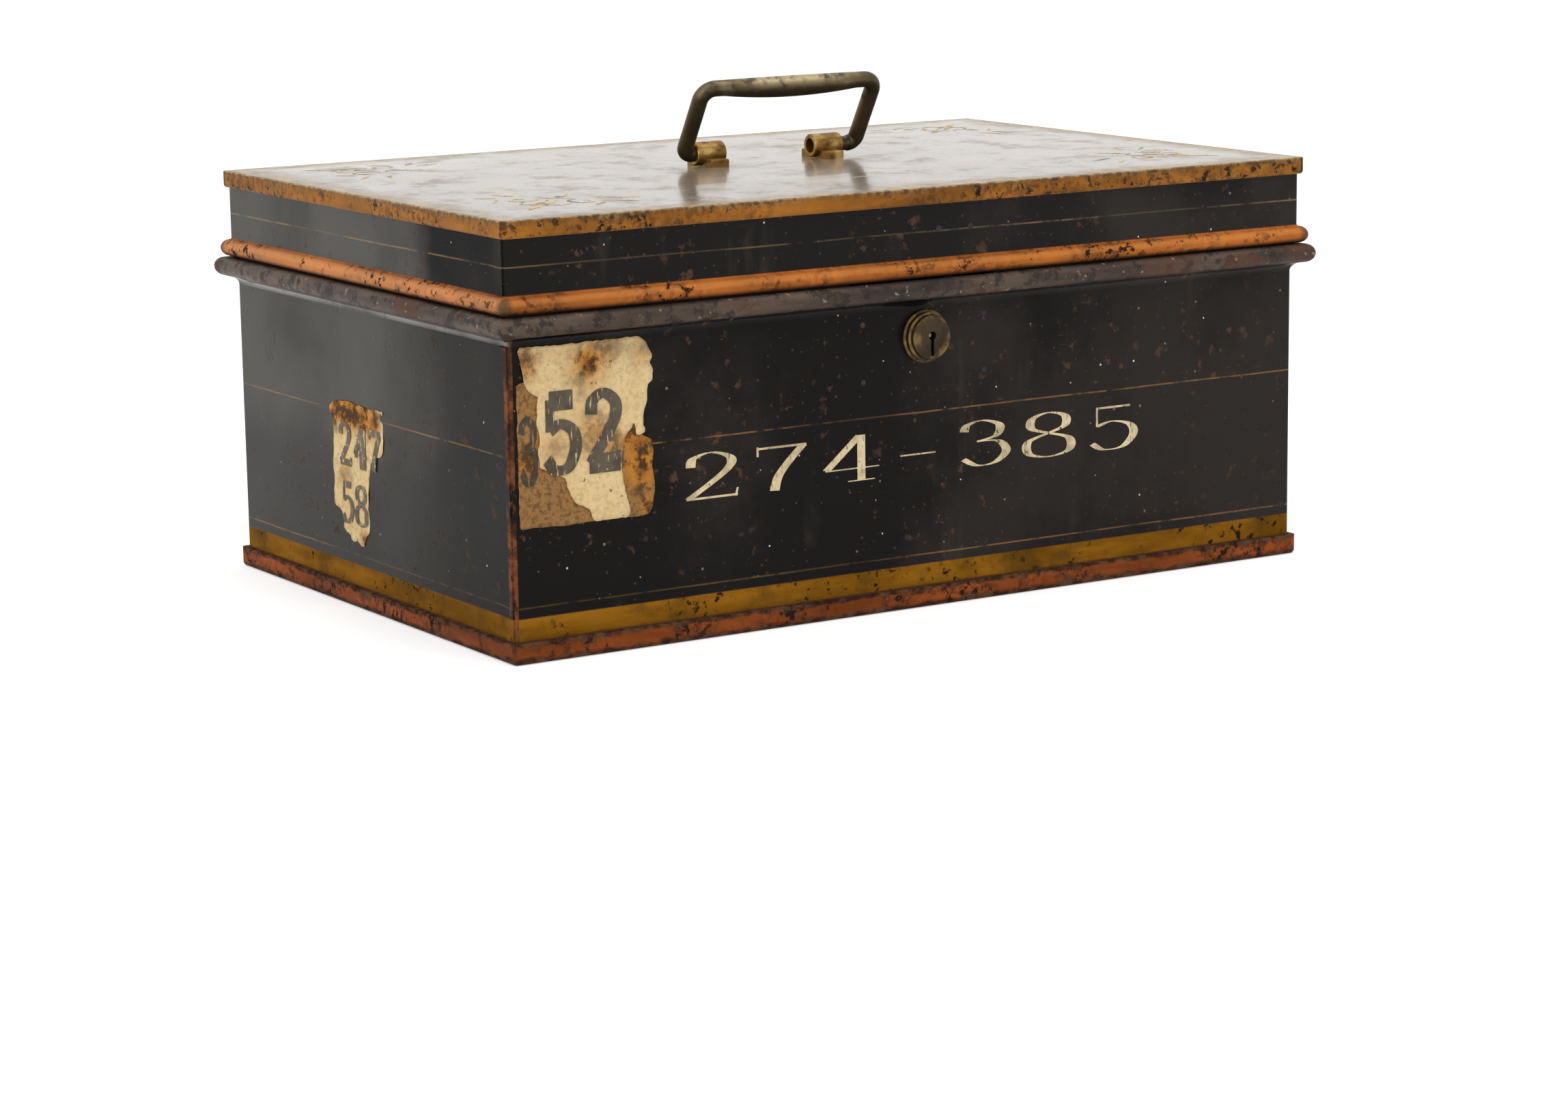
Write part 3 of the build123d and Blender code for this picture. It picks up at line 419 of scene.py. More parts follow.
def gild(kit, paint, mask):
    """Bronze powder paint, streaked along the band and darkened in patches."""
    streak = kit.patches(0.32, 0.68, 80, detail=5, stretch=(0.22, 0.22, 1.0))
    shade = kit.mix(streak, tint(paint.bronze, 0.65), tint(paint.bronze, 1.30))
    dark = kit.both(kit.patches(0.47, 0.68, 42, rough=0.62), 0.65)
    shade = kit.mix(dark, shade, (0.070, 0.038, 0.008))
    kit.lay(mask, shade=shade, rough=0.42, metal=0.2, gloss=0.0, height=0.3)


def grain_orange(kit, paint, mask, strength, shift=1.0, dirt=0.85):
    """Orange-brown band with a streaky, mottled coat. The shift turns it towards ochre."""
    orange = tint(paint.orange, strength, (1.0, shift, 1.0))
    streak = kit.patches(0.32, 0.68, 60, rough=0.62, stretch=(0.25, 0.25, 1.0))
    shade = kit.mix(streak, tint(orange, 0.62), tint(orange, 1.25))
    mottle = kit.both(kit.patches(0.44, 0.60, 230, rough=0.70), kit.patches(0.36, 0.58, 33, detail=4))
    shade = kit.mix(kit.both(mottle, dirt), shade, paint.rust)
    kit.lay(mask, shade=shade, rough=0.46, metal=0.0, gloss=0.03, height=0.2)


def corner_wear(kit, paint, half, reach, keep=0.46):
    """Broken rusty wear along upright corners. A higher keep leaves less of it."""
    ragged_by = kit.waver(0.006, 130, detail=5)
    mask = kit.patches(keep - 0.06, keep + 0.06, 95, rough=0.62)
    for off, start in ((kit.off_x, half[0] - reach), (kit.off_y, half[1] - reach)):
        mask = kit.both(mask, kit.step(kit.math("ADD", off, ragged_by), start, start + 0.0008))
    rust = kit.mix(kit.patches(0.35, 0.7, 210, detail=5), tint(paint.rust, 0.5), tint(paint.rust, 2.2))
    kit.lay(mask, 0.9, shade=rust, rough=0.62, metal=0.0)


def wall_plane(kit):
    """Coordinates that run round the walls and up, for specks that lie in the surface."""
    return kit.add("ShaderNodeCombineXYZ", X=kit.math("ADD", kit.x, kit.y), Y=kit.z).outputs[0]


def rule(kit, height, paint, shade, strength=0.8):
    """A thin line ruled by hand at this height, worn faint over long stretches."""
    place = kit.math("ADD", kit.z, kit.waver(0.0009, 16, detail=2))
    line = kit.between(place, height - paint.line / 2, height + paint.line / 2)
    worn = kit.patches(0.32, 0.54, 90, rough=0.62)
    faint = kit.blend(kit.patches(0.42, 0.58, 8, detail=2), 0.30, 1.0)
    kit.lay(kit.both(kit.both(line, worn), faint), strength, shade=shade, rough=0.45, height=0.3)


def inset_from(kit, half, pick="MINIMUM"):
    """How far a place lies in from the nearer wall at this half width and half depth, or from the farther one."""
    return kit.math(pick, kit.math("SUBTRACT", half[0], kit.off_x), kit.math("SUBTRACT", half[1], kit.off_y))


def line_inside(kit, paint, mask):
    """Thin brown japan on the inside of a piece, clouded and rusty in spots."""
    cloud = kit.both(kit.patches(0.36, 0.66, 26, detail=5), 0.7)
    shade = kit.mix(cloud, paint.inside, tint(paint.inside, 0.45))
    kit.lay(mask, shade=shade, rough=0.45, metal=0.0, gloss=0.3, height=0.0)
    spots = kit.both(kit.patches(0.60, 0.66, 170), kit.patches(0.46, 0.58, 28, detail=4))
    kit.lay(kit.both(mask, spots), shade=paint.rust, rough=0.75)


def side_painted_reflection(kit, half_x, front, soft, foot, black, pale):
    """Painted reflection on the side walls: they are laid paler than the front, in cloudy patches, and blacker towards
    their foot and the front corner.
    """
    side = kit.step(kit.off_x, half_x - 0.0006, half_x - 0.0002)
    kit.lay(side, gloss=black)
    drift = kit.waver(0.06, 14, detail=3)
    back = kit.step(kit.math("ADD", kit.y, drift), front, front + soft)
    high = kit.step(kit.math("ADD", kit.z, drift), foot, foot + 0.035)
    mask = kit.both(kit.both(side, back), kit.blend(high, 0.30, 0.95))
    # The paler colour laid on the sides here is a painted reflection.
    kit.lay(mask, shade=(0.030, 0.026, 0.019), rough=0.32, gloss=pale)
    cloud = kit.both(kit.patches(0.42, 0.68, 11, detail=3, bend=0.3), 0.6)
    kit.lay(kit.both(side, cloud), shade=(0.018, 0.017, 0.011), gloss=0.06)


# ---- body
def paint_wall(paint):
    kit = Coats("japan_wall", paint.black, 0.22, gloss=0.08)
    age_black(kit, paint, wall_plane(kit))
    # Painted reflection on the side walls of the body.
    side_painted_reflection(kit, WALL[0], front=-0.085, soft=0.070, foot=0.060, black=0.06, pale=0.23)
    for height in (paint.low_line, paint.mid_line):
        rule(kit, height, paint, (0.24, 0.130, 0.045))
    band = kit.between(kit.z, paint.band_low - 0.002, paint.band_high, soft=0.0003)
    gild(kit, paint, band)
    chip(kit, paint, band, low=0.59)
    kit.lay(kit.between(kit.z, *BASE_SEAM), shade=(0.11, 0.055, 0.024), rough=0.5)
    wear_lap(kit, paint)
    corner_wear(kit, paint, WALL, reach=0.0006)
    wear_rim(kit)
    line_inside(kit, paint, kit.step(inset_from(kit, WALL), *SHEET_IN))
    return kit.join(relief=0.00022, waves=0.0009, film=FILM)


def wear_lap(kit, paint):
    """The lapped seam at the front of the left side is worn to red-brown iron."""
    strip = kit.either(kit.fall(kit.y, -0.1228, -0.1214), kit.fall(kit.y, -0.1259, -0.1257))
    lap = kit.both(kit.step(kit.both(kit.x, -1), 0.1946, 0.1950), strip)
    lap = kit.both(lap, kit.patches(0.38, 0.50, 75, rough=0.70, stretch=(1.0, 1.0, 0.6)))
    patch = kit.patches(0.42, 0.62, 110, rough=0.70)
    shade = kit.mix(patch, tint(paint.rust, 0.7), (0.24, 0.080, 0.028))
    kit.lay(lap, 0.92, shade=shade, rough=0.6, gloss=0.05)


def wear_rim(kit):
    """The flare under the rim stays black and glossy, and the wired rim is worn down to brown iron."""
    shiny = kit.both(kit.step(kit.off_x, 0.1950, 0.1965), kit.patches(0.36, 0.60, 12, detail=4))
    kit.lay(kit.between(kit.z, *FLARE, soft=0.0003), rough=0.16, gloss=kit.blend(shiny, 0.10, 0.9))
    rim = kit.step(kit.z, RIM_FOOT, RIM_FOOT + 0.0006)
    grain = kit.patches(0.32, 0.68, 75, rough=0.62, stretch=(0.22, 0.22, 1.0))
    shade = kit.mix(grain, (0.026, 0.016, 0.012), (0.100, 0.067, 0.046))
    kit.lay(rim, shade=shade, rough=0.45, metal=0.1, gloss=0.32)
    dark = kit.both(rim, kit.patches(0.50, 0.60, 170, rough=0.66))
    kit.lay(dark, 0.85, shade=(0.014, 0.009, 0.008), rough=0.6)
    red = kit.both(rim, kit.patches(0.55, 0.66, 52, stretch=(0.5, 0.5, 1.0)))
    kit.lay(red, 0.75, shade=(0.085, 0.034, 0.019), rough=0.68, height=-0.4)
    # The pale specks on the rim are painted highlights.
    kit.lay(kit.both(rim, kit.patches(0.65, 0.70, 330, detail=3)), shade=(0.24, 0.19, 0.15), rough=0.6)


def paint_base(paint):
    kit = Coats("japan_base", (0.02, 0.014, 0.011), 0.6, gloss=0.2)
    band = kit.step(kit.z, 0.0001, 0.0008)
    grain_orange(kit, paint, band, 0.56, 0.80)
    chip(kit, paint, band, low=0.55)
    # Its upper edge is worn dark along the whole band; its foot is darker too, painted shade where the band turns
    # under, mixed with wear.
    height = kit.math("ADD", kit.z, kit.waver(0.0052, 110, detail=6, rough=0.62))
    worn = kit.either(kit.fall(height, 0.0014, 0.0034), kit.step(height, 0.0066, 0.0080))
    dark = kit.mix(kit.patches(0.38, 0.66, 230, detail=4), (0.022, 0.013, 0.010), (0.120, 0.060, 0.032))
    kit.lay(worn, 0.9, shade=dark, rough=0.7)
    corner_wear(kit, paint, BASE, reach=0.0020)
    kit.lay(kit.specks(wall_plane(kit), 0.021, 0.0008, 0.2), shade=(0.60, 0.55, 0.47), rough=0.8)
    inner = kit.both(kit.step(inset_from(kit, WALL), 0.0002, 0.0004), kit.step(kit.z, 0.0002, 0.0005))
    line_inside(kit, paint, inner)
    return kit.join(relief=0.0003, waves=0.0004)


# ---- lid
def paint_skirt(paint):
    kit = Coats("japan_skirt", paint.black, 0.22, gloss=0.12)
    age_black(kit, paint, wall_plane(kit))
    # Painted reflection on the side walls of the skirt.
    side_painted_reflection(kit, SKIRT[0], front=-0.072, soft=0.030, foot=0.050, black=0.03, pale=0.28)
    rule(kit, paint.lid_line, paint, (0.20, 0.130, 0.060), strength=0.9)
    corner_wear(kit, paint, SKIRT, reach=0.0004, keep=0.58)
    paint_bead(kit, paint)
    line_inside(kit, paint, kit.step(inset_from(kit, SKIRT), *SHEET_IN))
    return kit.join(relief=0.00025, waves=0.0007, film=FILM)


def paint_bead(kit, paint):
    """The orange bead, laid paler on the short sides as a painted reflection, lighter along its crest as a painted
    highlight over rubbed wear, dark at its corners, and darker below as painted shade.
    """
    bead = kit.fall(kit.z, BEAD_TOP, BEAD_TOP + 0.0007)
    grain_orange(kit, paint, bead, 0.94, 0.98, dirt=0.7)
    # Painted reflection: the short sides of the bead are laid paler.
    pale_sides_painted_reflection = kit.both(bead, kit.step(kit.off_x, 0.1983, 0.1995))
    kit.lay(pale_sides_painted_reflection, 0.34, shade=(0.78, 0.37, 0.175))
    # Painted highlight along the crest of the bead, over rubbed wear.
    crest = kit.both(kit.step(kit.z, 0.1432, 0.1448), kit.fall(kit.z, 0.1456, 0.1467))
    kit.lay(crest, 0.30, shade=(0.74, 0.29, 0.070), rough=0.34, gloss=0.2)
    chip(kit, paint, bead, low=0.56)
    corner = kit.both(kit.step(kit.off_x, 0.1955, 0.2000), kit.step(kit.off_y, 0.1255, 0.1300))
    kit.lay(kit.both(bead, corner), 0.8, shade=(0.055, 0.034, 0.022), rough=0.5)
    # Painted shade along the underside of the bead.
    kit.lay(kit.fall(kit.z, 0.1399, 0.1426), shade=(0.026, 0.016, 0.011), rough=0.7)


def paint_top(paint):
    kit = Coats("japan_top", (0.020, 0.014, 0.009), 0.20, gloss=0.5)
    inset = inset_from(kit, LID)
    rub = cloud_panel(kit)
    gild_border(kit, paint, inset)
    edge, brink = mottle_edge(kit, inset)
    hem = paint_hem(kit, paint)
    # The underside, one sheet below the crowned top, is plain.
    crown = kit.both(kit.step(inset, CROWN_START, CROWN_START + CROWN_RUN), CROWN)
    under = kit.fall(kit.math("SUBTRACT", kit.z, crown), 0.1768, 0.1771)
    under = kit.both(under, kit.step(inset, 0.0021, 0.0024))
    line_inside(kit, paint, under)
    # Only the level top is varnished, and the varnish is dull in patches and gone at the edge.
    clear = kit.without(kit.without(kit.without(0.78, hem), under), brink)
    clear = kit.without(clear, kit.both(kit.either(rub, edge), 0.6))
    return kit.join(relief=0.0002, waves=0.0005, varnish=clear, dust=0.25)


def cloud_panel(kit):
    """Brown haze, rubbed patches, scratches and specks on the lid's top. Gives the mask of the rubbed patches."""
    haze = kit.patches(0.36, 0.66, 11, rough=0.6)
    kit.lay(haze, 0.8, shade=(0.048, 0.031, 0.015), rough=0.30)
    rub = kit.patches(0.48, 0.66, 34, detail=7, rough=0.74, bend=0.2)
    kit.lay(rub, 0.7, shade=(0.120, 0.076, 0.034), rough=0.42, gloss=0.3)
    dim = kit.patches(0.50, 0.66, 26, rough=0.66, stretch=(1.0, 1.6, 1.0))
    kit.lay(dim, 0.7, shade=(0.018, 0.012, 0.008), gloss=0.25)
    for turn in ((30, 800, 800), (800, 45, 800)):
        kit.lay(kit.patches(0.66, 0.70, 1, detail=2, stretch=turn), 0.4, shade=(0.16, 0.13, 0.10), rough=0.4)
    plane = kit.add("ShaderNodeCombineXYZ", X=kit.x, Y=kit.y).outputs[0]
    kit.lay(kit.specks(plane, 0.008, 0.0008, 0.45), shade=(0.085, 0.055, 0.035), rough=0.6)
    return rub


def gild_border(kit, paint, inset):
    """The double gold line, with its corners left open for the scrolls."""
    near = paint.border
    line = kit.either(kit.between(inset, near, near + 0.0011), kit.between(inset, near + 0.0024, near + 0.0029))
    line = kit.both(line, kit.step(inset_from(kit, LID, "MAXIMUM"), near + 0.024, near + 0.025))
    line = kit.both(line, kit.patches(0.42, 0.56, 48, detail=5))
    kit.lay(line, shade=(0.62, 0.42, 0.13), rough=0.4, metal=0.25, height=0.25)


def grit(kit):
    return kit.patches(0.42, 0.60, 380, detail=4, rough=0.6)


def mottle_edge(kit, inset):
    """Towards the edge the black is worn and mottled with cream and brown. Gives the masks of edge and brink."""
    ragged_by = kit.waver(0.040, 70, detail=6, rough=0.68)
    edge = kit.fall(kit.math("ADD", inset, ragged_by), 0.003, 0.020)
    patch = kit.patches(0.40, 0.62, 150, rough=0.72)
    mottle = kit.mix(patch, (0.070, 0.040, 0.016), (0.400, 0.275, 0.120))
    kit.lay(edge, 0.9, shade=mottle, rough=0.45, gloss=0.3, height=0.3)
    brink = kit.fall(kit.math("ADD", inset, kit.both(ragged_by, 0.07)), 0.0006, 0.0024)
    kit.lay(brink, shade=kit.mix(grit(kit), (0.150, 0.092, 0.042), (0.40, 0.27, 0.12)), rough=0.6)
    return edge, brink


def paint_hem(kit, paint):
    """The hem is orange-brown below and worn dark and speckled towards its upper edge. Gives its mask."""
    hem = kit.fall(kit.z, HEM_TOP, HEM_TOP + 0.0004)
    grain_orange(kit, paint, hem, 0.70, 1.22, dirt=0.7)
    chip(kit, paint, hem, low=0.56)
    upper = kit.step(kit.math("ADD", kit.z, kit.waver(0.0055, 55, rough=0.5)), 0.1740, 0.1772)
    broken = kit.blend(kit.patches(0.42, 0.58, 24, detail=3), 0.30, 0.85)
    dark = kit.mix(grit(kit), (0.075, 0.045, 0.021), (0.270, 0.165, 0.072))
    kit.lay(kit.both(kit.both(upper, hem), broken), shade=dark, rough=0.6)
    corner_wear(kit, paint, LID, reach=0.0030, keep=0.42)
    return hem


def paint_inside(paint, name, shade):
    """Thin japan all over a piece that is hidden when the box is shut."""
    kit = Coats(name, shade, 0.42, gloss=0.3)
    cloud = kit.patches(0.35, 0.70, 30, detail=5)
    kit.lay(cloud, 0.6, shade=tint(shade, 0.45), rough=0.55)
    rust = kit.both(kit.patches(0.58, 0.66, 170), kit.patches(0.46, 0.58, 28, detail=4))
    kit.lay(rust, shade=paint.rust, rough=0.78, height=-0.6)
    kit.lay(kit.specks(wall_plane(kit), 0.008, 0.0006, 0.3), shade=(0.16, 0.11, 0.07), rough=0.8)
    return kit.join(relief=0.00018, waves=0.0004)


# ---- metals
def old_brass(name, film, bright, rub):
    """Brass under a dark film, with bright spots where rub, a mask builder, says that a hand has rubbed it."""
    kit = Coats(name, film, 0.46, metal=0.85)
    kit.lay(kit.patches(0.34, 0.66, 70, detail=5), shade=tint(film, 1.8), rough=0.38)
    grime = kit.patches(0.56, 0.66, 240, detail=5)
    kit.lay(grime, 0.7, shade=tint(film, 0.32), rough=0.72, metal=0.3, height=-0.4)
    rubbed = kit.both(rub(kit), kit.patches(0.32, 0.52, 160, detail=5))
    kit.lay(rubbed, shade=bright, rough=0.32, metal=1.0)
    return kit.join(relief=0.00010)


def rub_and_highlight_grip(kit):
    """The upper middle of the grip, rubbed bright by the hand and laid bright as a painted highlight where light falls
    from above, and, more faintly, scattered rubbed patches, as on the outsides of its shoulders.
    """
    off_middle = kit.math("ABSOLUTE", kit.math("SUBTRACT", kit.x, 0.004))
    top = kit.both(kit.fall(off_middle, 0.012, 0.036), kit.step(kit.z, 0.2115, 0.2165))
    return kit.either(kit.both(top, 0.85), kit.both(kit.patches(0.55, 0.75, 45, detail=4), 0.35))


def rub_patches(kit):
    return kit.both(kit.patches(0.46, 0.64, 95, detail=4), 0.75)


def old_steel(name, shade, rough):
    kit = Coats(name, shade, rough, metal=0.85)
    grain = kit.patches(0.35, 0.65, 220, detail=4, stretch=(1.0, 0.15, 0.15))
    kit.lay(grain, shade=tint(shade, 1.5), rough=rough * 0.8)
    rust = kit.both(kit.patches(0.52, 0.62, 150), kit.patches(0.42, 0.6, 40, detail=4))
    kit.lay(rust, shade=(0.12, 0.045, 0.018), rough=0.85, metal=0.0, height=-0.5)
    return kit.join(relief=0.00015)


def wear_metal(node, material):
    """Give every slot of a CAD node this material."""
    owner = frame["nodes"][node]
    if not owner.material_slots:
        owner.data.materials.append(material)
    for place in owner.material_slots:
        place.material = material


# ---- paper
def inside(point, outline):
    """Whether a point lies within a closed outline."""
    x, y = point
    odd = False
    for (x1, y1), (x2, y2) in zip(outline, outline[1:] + outline[:1]):
        if (y1 > y) != (y2 > y) and x < (x2 - x1) * (y - y1) / (y2 - y1) + x1:
            odd = not odd
    return odd


def nearest(point, outline):
    """The nearest point on a closed outline and its distance."""
    best, spot = 1e9, point
    here = Vector(point)
    for start, end in zip(outline, outline[1:] + outline[:1]):
        a, b = Vector(start), Vector(end)
        share = max(0.0, min(1.0, (here - a).dot(b - a) / max((b - a).length_squared, 1e-12)))
        close = a + (b - a) * share
        gap = (here - close).length
        if gap < best:
            best, spot = gap, close
    return spot, best


def ragged(outline, pitch, depth, seed):
    """An outline with short torn steps added along its edges. Lengths in metres."""
    pick = random.Random(seed)
    points = []
    for start, end in zip(outline, outline[1:] + outline[:1]):
        a, b = Vector(start), Vector(end)
        count = max(1, int((b - a).length / pitch))
        side = Vector((-(b - a).y, (b - a).x)).normalized()
        for index in range(count):
            shift = 0.0 if index == 0 else pick.uniform(-depth, depth)
            points.append(tuple(a.lerp(b, index / count) + side * shift))
    return points


# How far in from a torn edge the paper lifts, in metres.
TORN_WIDTH = 0.0035


def paper_height(u, v, gap, paper, base):
    """How far the paper stands off the wall: wrinkles, and a lift at torn edges."""
    wrinkle = noise.noise(Vector((u * 90, v * 90, 3.1))) * 0.00006
    wrinkle += noise.noise(Vector((u * 30, v * 30, 7.7))) * 0.00008
    edge = max(0.0, 1.0 - gap / TORN_WIDTH) ** 2
    lift = max(0.0, noise.noise(Vector((u * 130, v * 130, 1.3))) + 0.25)
    return base + WALL_GAP + wrinkle + paper.curl * edge * lift


def torn_sheet(name, outline, tears, base, paper, facing, material):
    """A sheet of paper on a wall, with its outline in millimetres and its tears' pitch, depth and seed."""
    outline = ragged([(u * MM, v * MM) for u, v in outline], *tears)
    us, vs = zip(*outline)
    low, high = (min(us), min(vs)), (max(us), max(vs))
    across = int((high[0] - low[0]) / paper.step)
    up = int((high[1] - low[1]) / paper.step)
    bpy.ops.object.select_all(action="DESELECT")
    bpy.ops.mesh.primitive_grid_add(x_subdivisions=across, y_subdivisions=up, size=1)
    sheet = bpy.context.object
    sheet.name = name
    mesh = sheet.data
    for vertex in mesh.vertices:
        u = low[0] + (vertex.co.x + 0.5) * (high[0] - low[0])
        v = low[1] + (vertex.co.y + 0.5) * (high[1] - low[1])
        vertex.co = (u, v, 0)
        vertex.select = not inside((u, v), outline)
    for face in mesh.polygons:
        face.select = False
    for edge in mesh.edges:
        edge.select = False
    bpy.ops.object.mode_set(mode="EDIT")
    bpy.ops.mesh.select_mode(type="VERT")
    bpy.ops.mesh.delete(type="VERT")
    bpy.ops.object.mode_set(mode="OBJECT")
    uses = {}
    for face in mesh.polygons:
        for key in face.edge_keys:
            uses[key] = uses.get(key, 0) + 1
    rim = {index for key, count in uses.items() if count == 1 for index in key}
    for vertex in mesh.vertices:
        spot, gap = nearest(vertex.co[:2], outline)
        if vertex.index in rim:
            vertex.co = (spot[0], spot[1], 0)
            gap = 0.0
        vertex.co.z = paper_height(vertex.co.x, vertex.co.y, gap, paper, base)
    solid = sheet.modifiers.new("sheet", "SOLIDIFY")
    solid.thickness = paper.sheet
    solid.offset = -1
    bpy.ops.object.modifier_apply(modifier="sheet")
    bpy.ops.object.shade_smooth()
    mesh.materials.append(material)
    stand(mesh, facing)
    sheet.matrix_world = Matrix.Identity(4)
    return sheet


# From right, up and out on a wall to the object's own directions.
TURN = {
    "front": Matrix(((1, 0, 0, 0), (0, 0, -1, -WALL[1]), (0, 1, 0, 0), (0, 0, 0, 1))),
    "left": Matrix(((0, 0, -1, -WALL[0]), (-1, 0, 0, 0), (0, 1, 0, 0), (0, 0, 0, 1))),
}


def stand(mesh, facing):
    """Turn a mesh laid out as right, up and out onto the wall that it belongs to."""
    mesh.transform(TURN[facing])
    mesh.update()


def smooth(points, fine=10):
    """Points along a smooth line through these points."""
    line = [points[0], *points, points[-1]]
    curve = []
    for before, start, end, after in zip(line, line[1:], line[2:], line[3:]):
        for index in range(fine):
            t = index / fine
            curve.append(tuple(
                b + 0.5 * t * (c - a + t * (2 * a - 5 * b + 4 * c - d + t * (3 * (b - c) + d - a)))
                for a, b, c, d in zip(before, start, end, after)
            ))
    return [*curve, points[-1]]


def pen(points, thin, thick, swell=1.6):
    """A brush stroke as (a, b, width) points, thin where it runs level and thick where it stands."""
    stroke = []
    for index, (a, b) in enumerate(points):
        before, after = points[max(0, index - 1)], points[min(len(points) - 1, index + 1)]
        run, rise = after[0] - before[0], after[1] - before[1]
        upright = abs(rise) / max(math.hypot(run, rise), 1e-9)
        stroke.append((a, b, thin + (thick - thin) * upright**swell))
    return stroke


# Each numeral's strokes in a box one high: smooth lines, and level or upright bars.
NUMERALS = {
    "2": ([[(0.08, 0.70), (0.11, 0.88), (0.31, 0.97), (0.51, 0.82), (0.45, 0.56), (0.05, 0.05)]],
          [((0.03, 0.05), (0.58, 0.05), 1.0), ((0.56, 0.02), (0.58, 0.19), 0.5)]),
    "3": ([[(0.07, 0.76), (0.11, 0.90), (0.29, 0.97), (0.48, 0.84), (0.44, 0.62), (0.22, 0.53)],
           [(0.22, 0.53), (0.46, 0.50), (0.56, 0.27), (0.43, 0.05), (0.22, 0.02), (0.06, 0.18)]], []),
    "4": ([[(0.40, 0.96), (0.22, 0.63), (0.03, 0.29)]],
          [((0.02, 0.28), (0.62, 0.28), 0.6), ((0.42, 0.97), (0.42, 0.02), 2.0), ((0.27, 0.02), (0.57, 0.02), 0.5)]),
    "5": ([[(0.12, 0.54), (0.30, 0.62), (0.51, 0.52), (0.56, 0.30), (0.43, 0.05), (0.20, 0.02), (0.06, 0.17)]],
          [((0.11, 0.93), (0.52, 0.93), 1.0), ((0.12, 0.95), (0.12, 0.53), 0.6)]),
    "7": ([[(0.54, 0.92), (0.38, 0.60), (0.26, 0.30), (0.22, 0.02)]],
          [((0.03, 0.92), (0.57, 0.92), 1.0), ((0.04, 0.96), (0.04, 0.76), 0.5)]),
    "8": ([[(0.30, 0.53), (0.10, 0.66), (0.11, 0.87), (0.30, 0.97), (0.49, 0.87), (0.49, 0.66), (0.30, 0.53)],
           [(0.30, 0.53), (0.06, 0.38), (0.07, 0.12), (0.30, 0.02), (0.54, 0.12), (0.54, 0.38), (0.30, 0.53)]], []),
    "-": ([], [((0.10, 0.42), (0.50, 0.42), 0.7)]),
}
PITCH = 0.76


def numerals(name, text, box, facing, brush, material):
    """Brushed numerals that fill a box (left, right, low, high) on a wall."""
    left, right, low, high = box
    out, thin, thick = brush
    wide, tall = (right - left) / (PITCH * len(text)), high - low
    strokes = []
    for index, figure in enumerate(text):
        lines, bars = NUMERALS[figure]
        parts = [pen(smooth(line), thin, thick) for line in lines]
        parts += [[(*start, thin * weight * 2), (*end, thin * weight * 2)] for start, end, weight in bars]
        for points in parts:
            rise = out + STROKE_GAP * len(strokes)

            def place(a, b):
                return left + (PITCH * index + a) * wide, low + b * tall, rise

            strokes.append(ribbon(points, place))
    figures = join_all(strokes, name)
    figures.data.materials.append(material)
    stand(figures.data, facing)
    return figures


def spot(kit, centre, radius, soft):
    """A round, ragged stain about a point."""
    away = kit.add("ShaderNodeVectorMath", {"operation": "DISTANCE"})
    kit.put(away.inputs[0], kit.place)
    kit.put(away.inputs[1], centre)
    far = kit.math("ADD", away.outputs[1], kit.waver(radius * 1.3, 150, detail=5))
    return kit.fall(far, radius - soft, radius + soft)


def paper_material(name, shade, paper, facing, stains, dirt):
    """Aged paper with fibres, this much dirt, and rust stains."""
    kit = Coats(name, shade, 0.82, gloss=0.2)
    kit.lay(kit.patches(0.30, 0.72, 60, detail=5), 0.5, shade=tint(shade, 1.0, (0.80, 0.68, 0.52)))
    kit.lay(kit.patches(0.46, 0.60, 420, rough=0.75), dirt, shade=tint(shade, 0.30))
    patchy = kit.patches(0.42, 0.56, 150, rough=0.72)
    for u, v, reach, strength in stains:
        centre, radius = TURN[facing] @ Vector((u * MM, v * MM, 0)), reach * MM
        rust = kit.mix(patchy, (0.070, 0.032, 0.010), paper.stain)
        kit.lay(kit.both(spot(kit, centre, radius, radius * 0.6), strength), shade=rust)
        core = kit.both(spot(kit, centre, radius * 0.35, radius * 0.35), strength * 0.7)
        kit.lay(core, shade=(0.060, 0.030, 0.012))
    kit.lay(kit.patches(0.62, 0.68, 260, rough=0.66), 0.75, shade=(0.065, 0.038, 0.018))
    kit.height = kit.noise(900, stretch=(1.0, 1.0, 0.35))
    return kit.join(relief=0.00010)


def print_material(name, shade, under, keep):
    """Ink or paint that has worn off in places down to what is under it."""
    kit = Coats(name, shade, 0.6, gloss=0.25)
    kit.lay(kit.patches(0.36, 0.64, 130, detail=5), shade=tint(shade, 1.7))
    kit.lay(kit.patches(keep, keep + 0.05, 340, rough=0.7), shade=under, rough=0.75)
    kit.lay(kit.patches(0.60, 0.66, 1, detail=3, stretch=(900, 900, 130)), 0.7, shade=under)
    return kit.join(relief=0.00004)


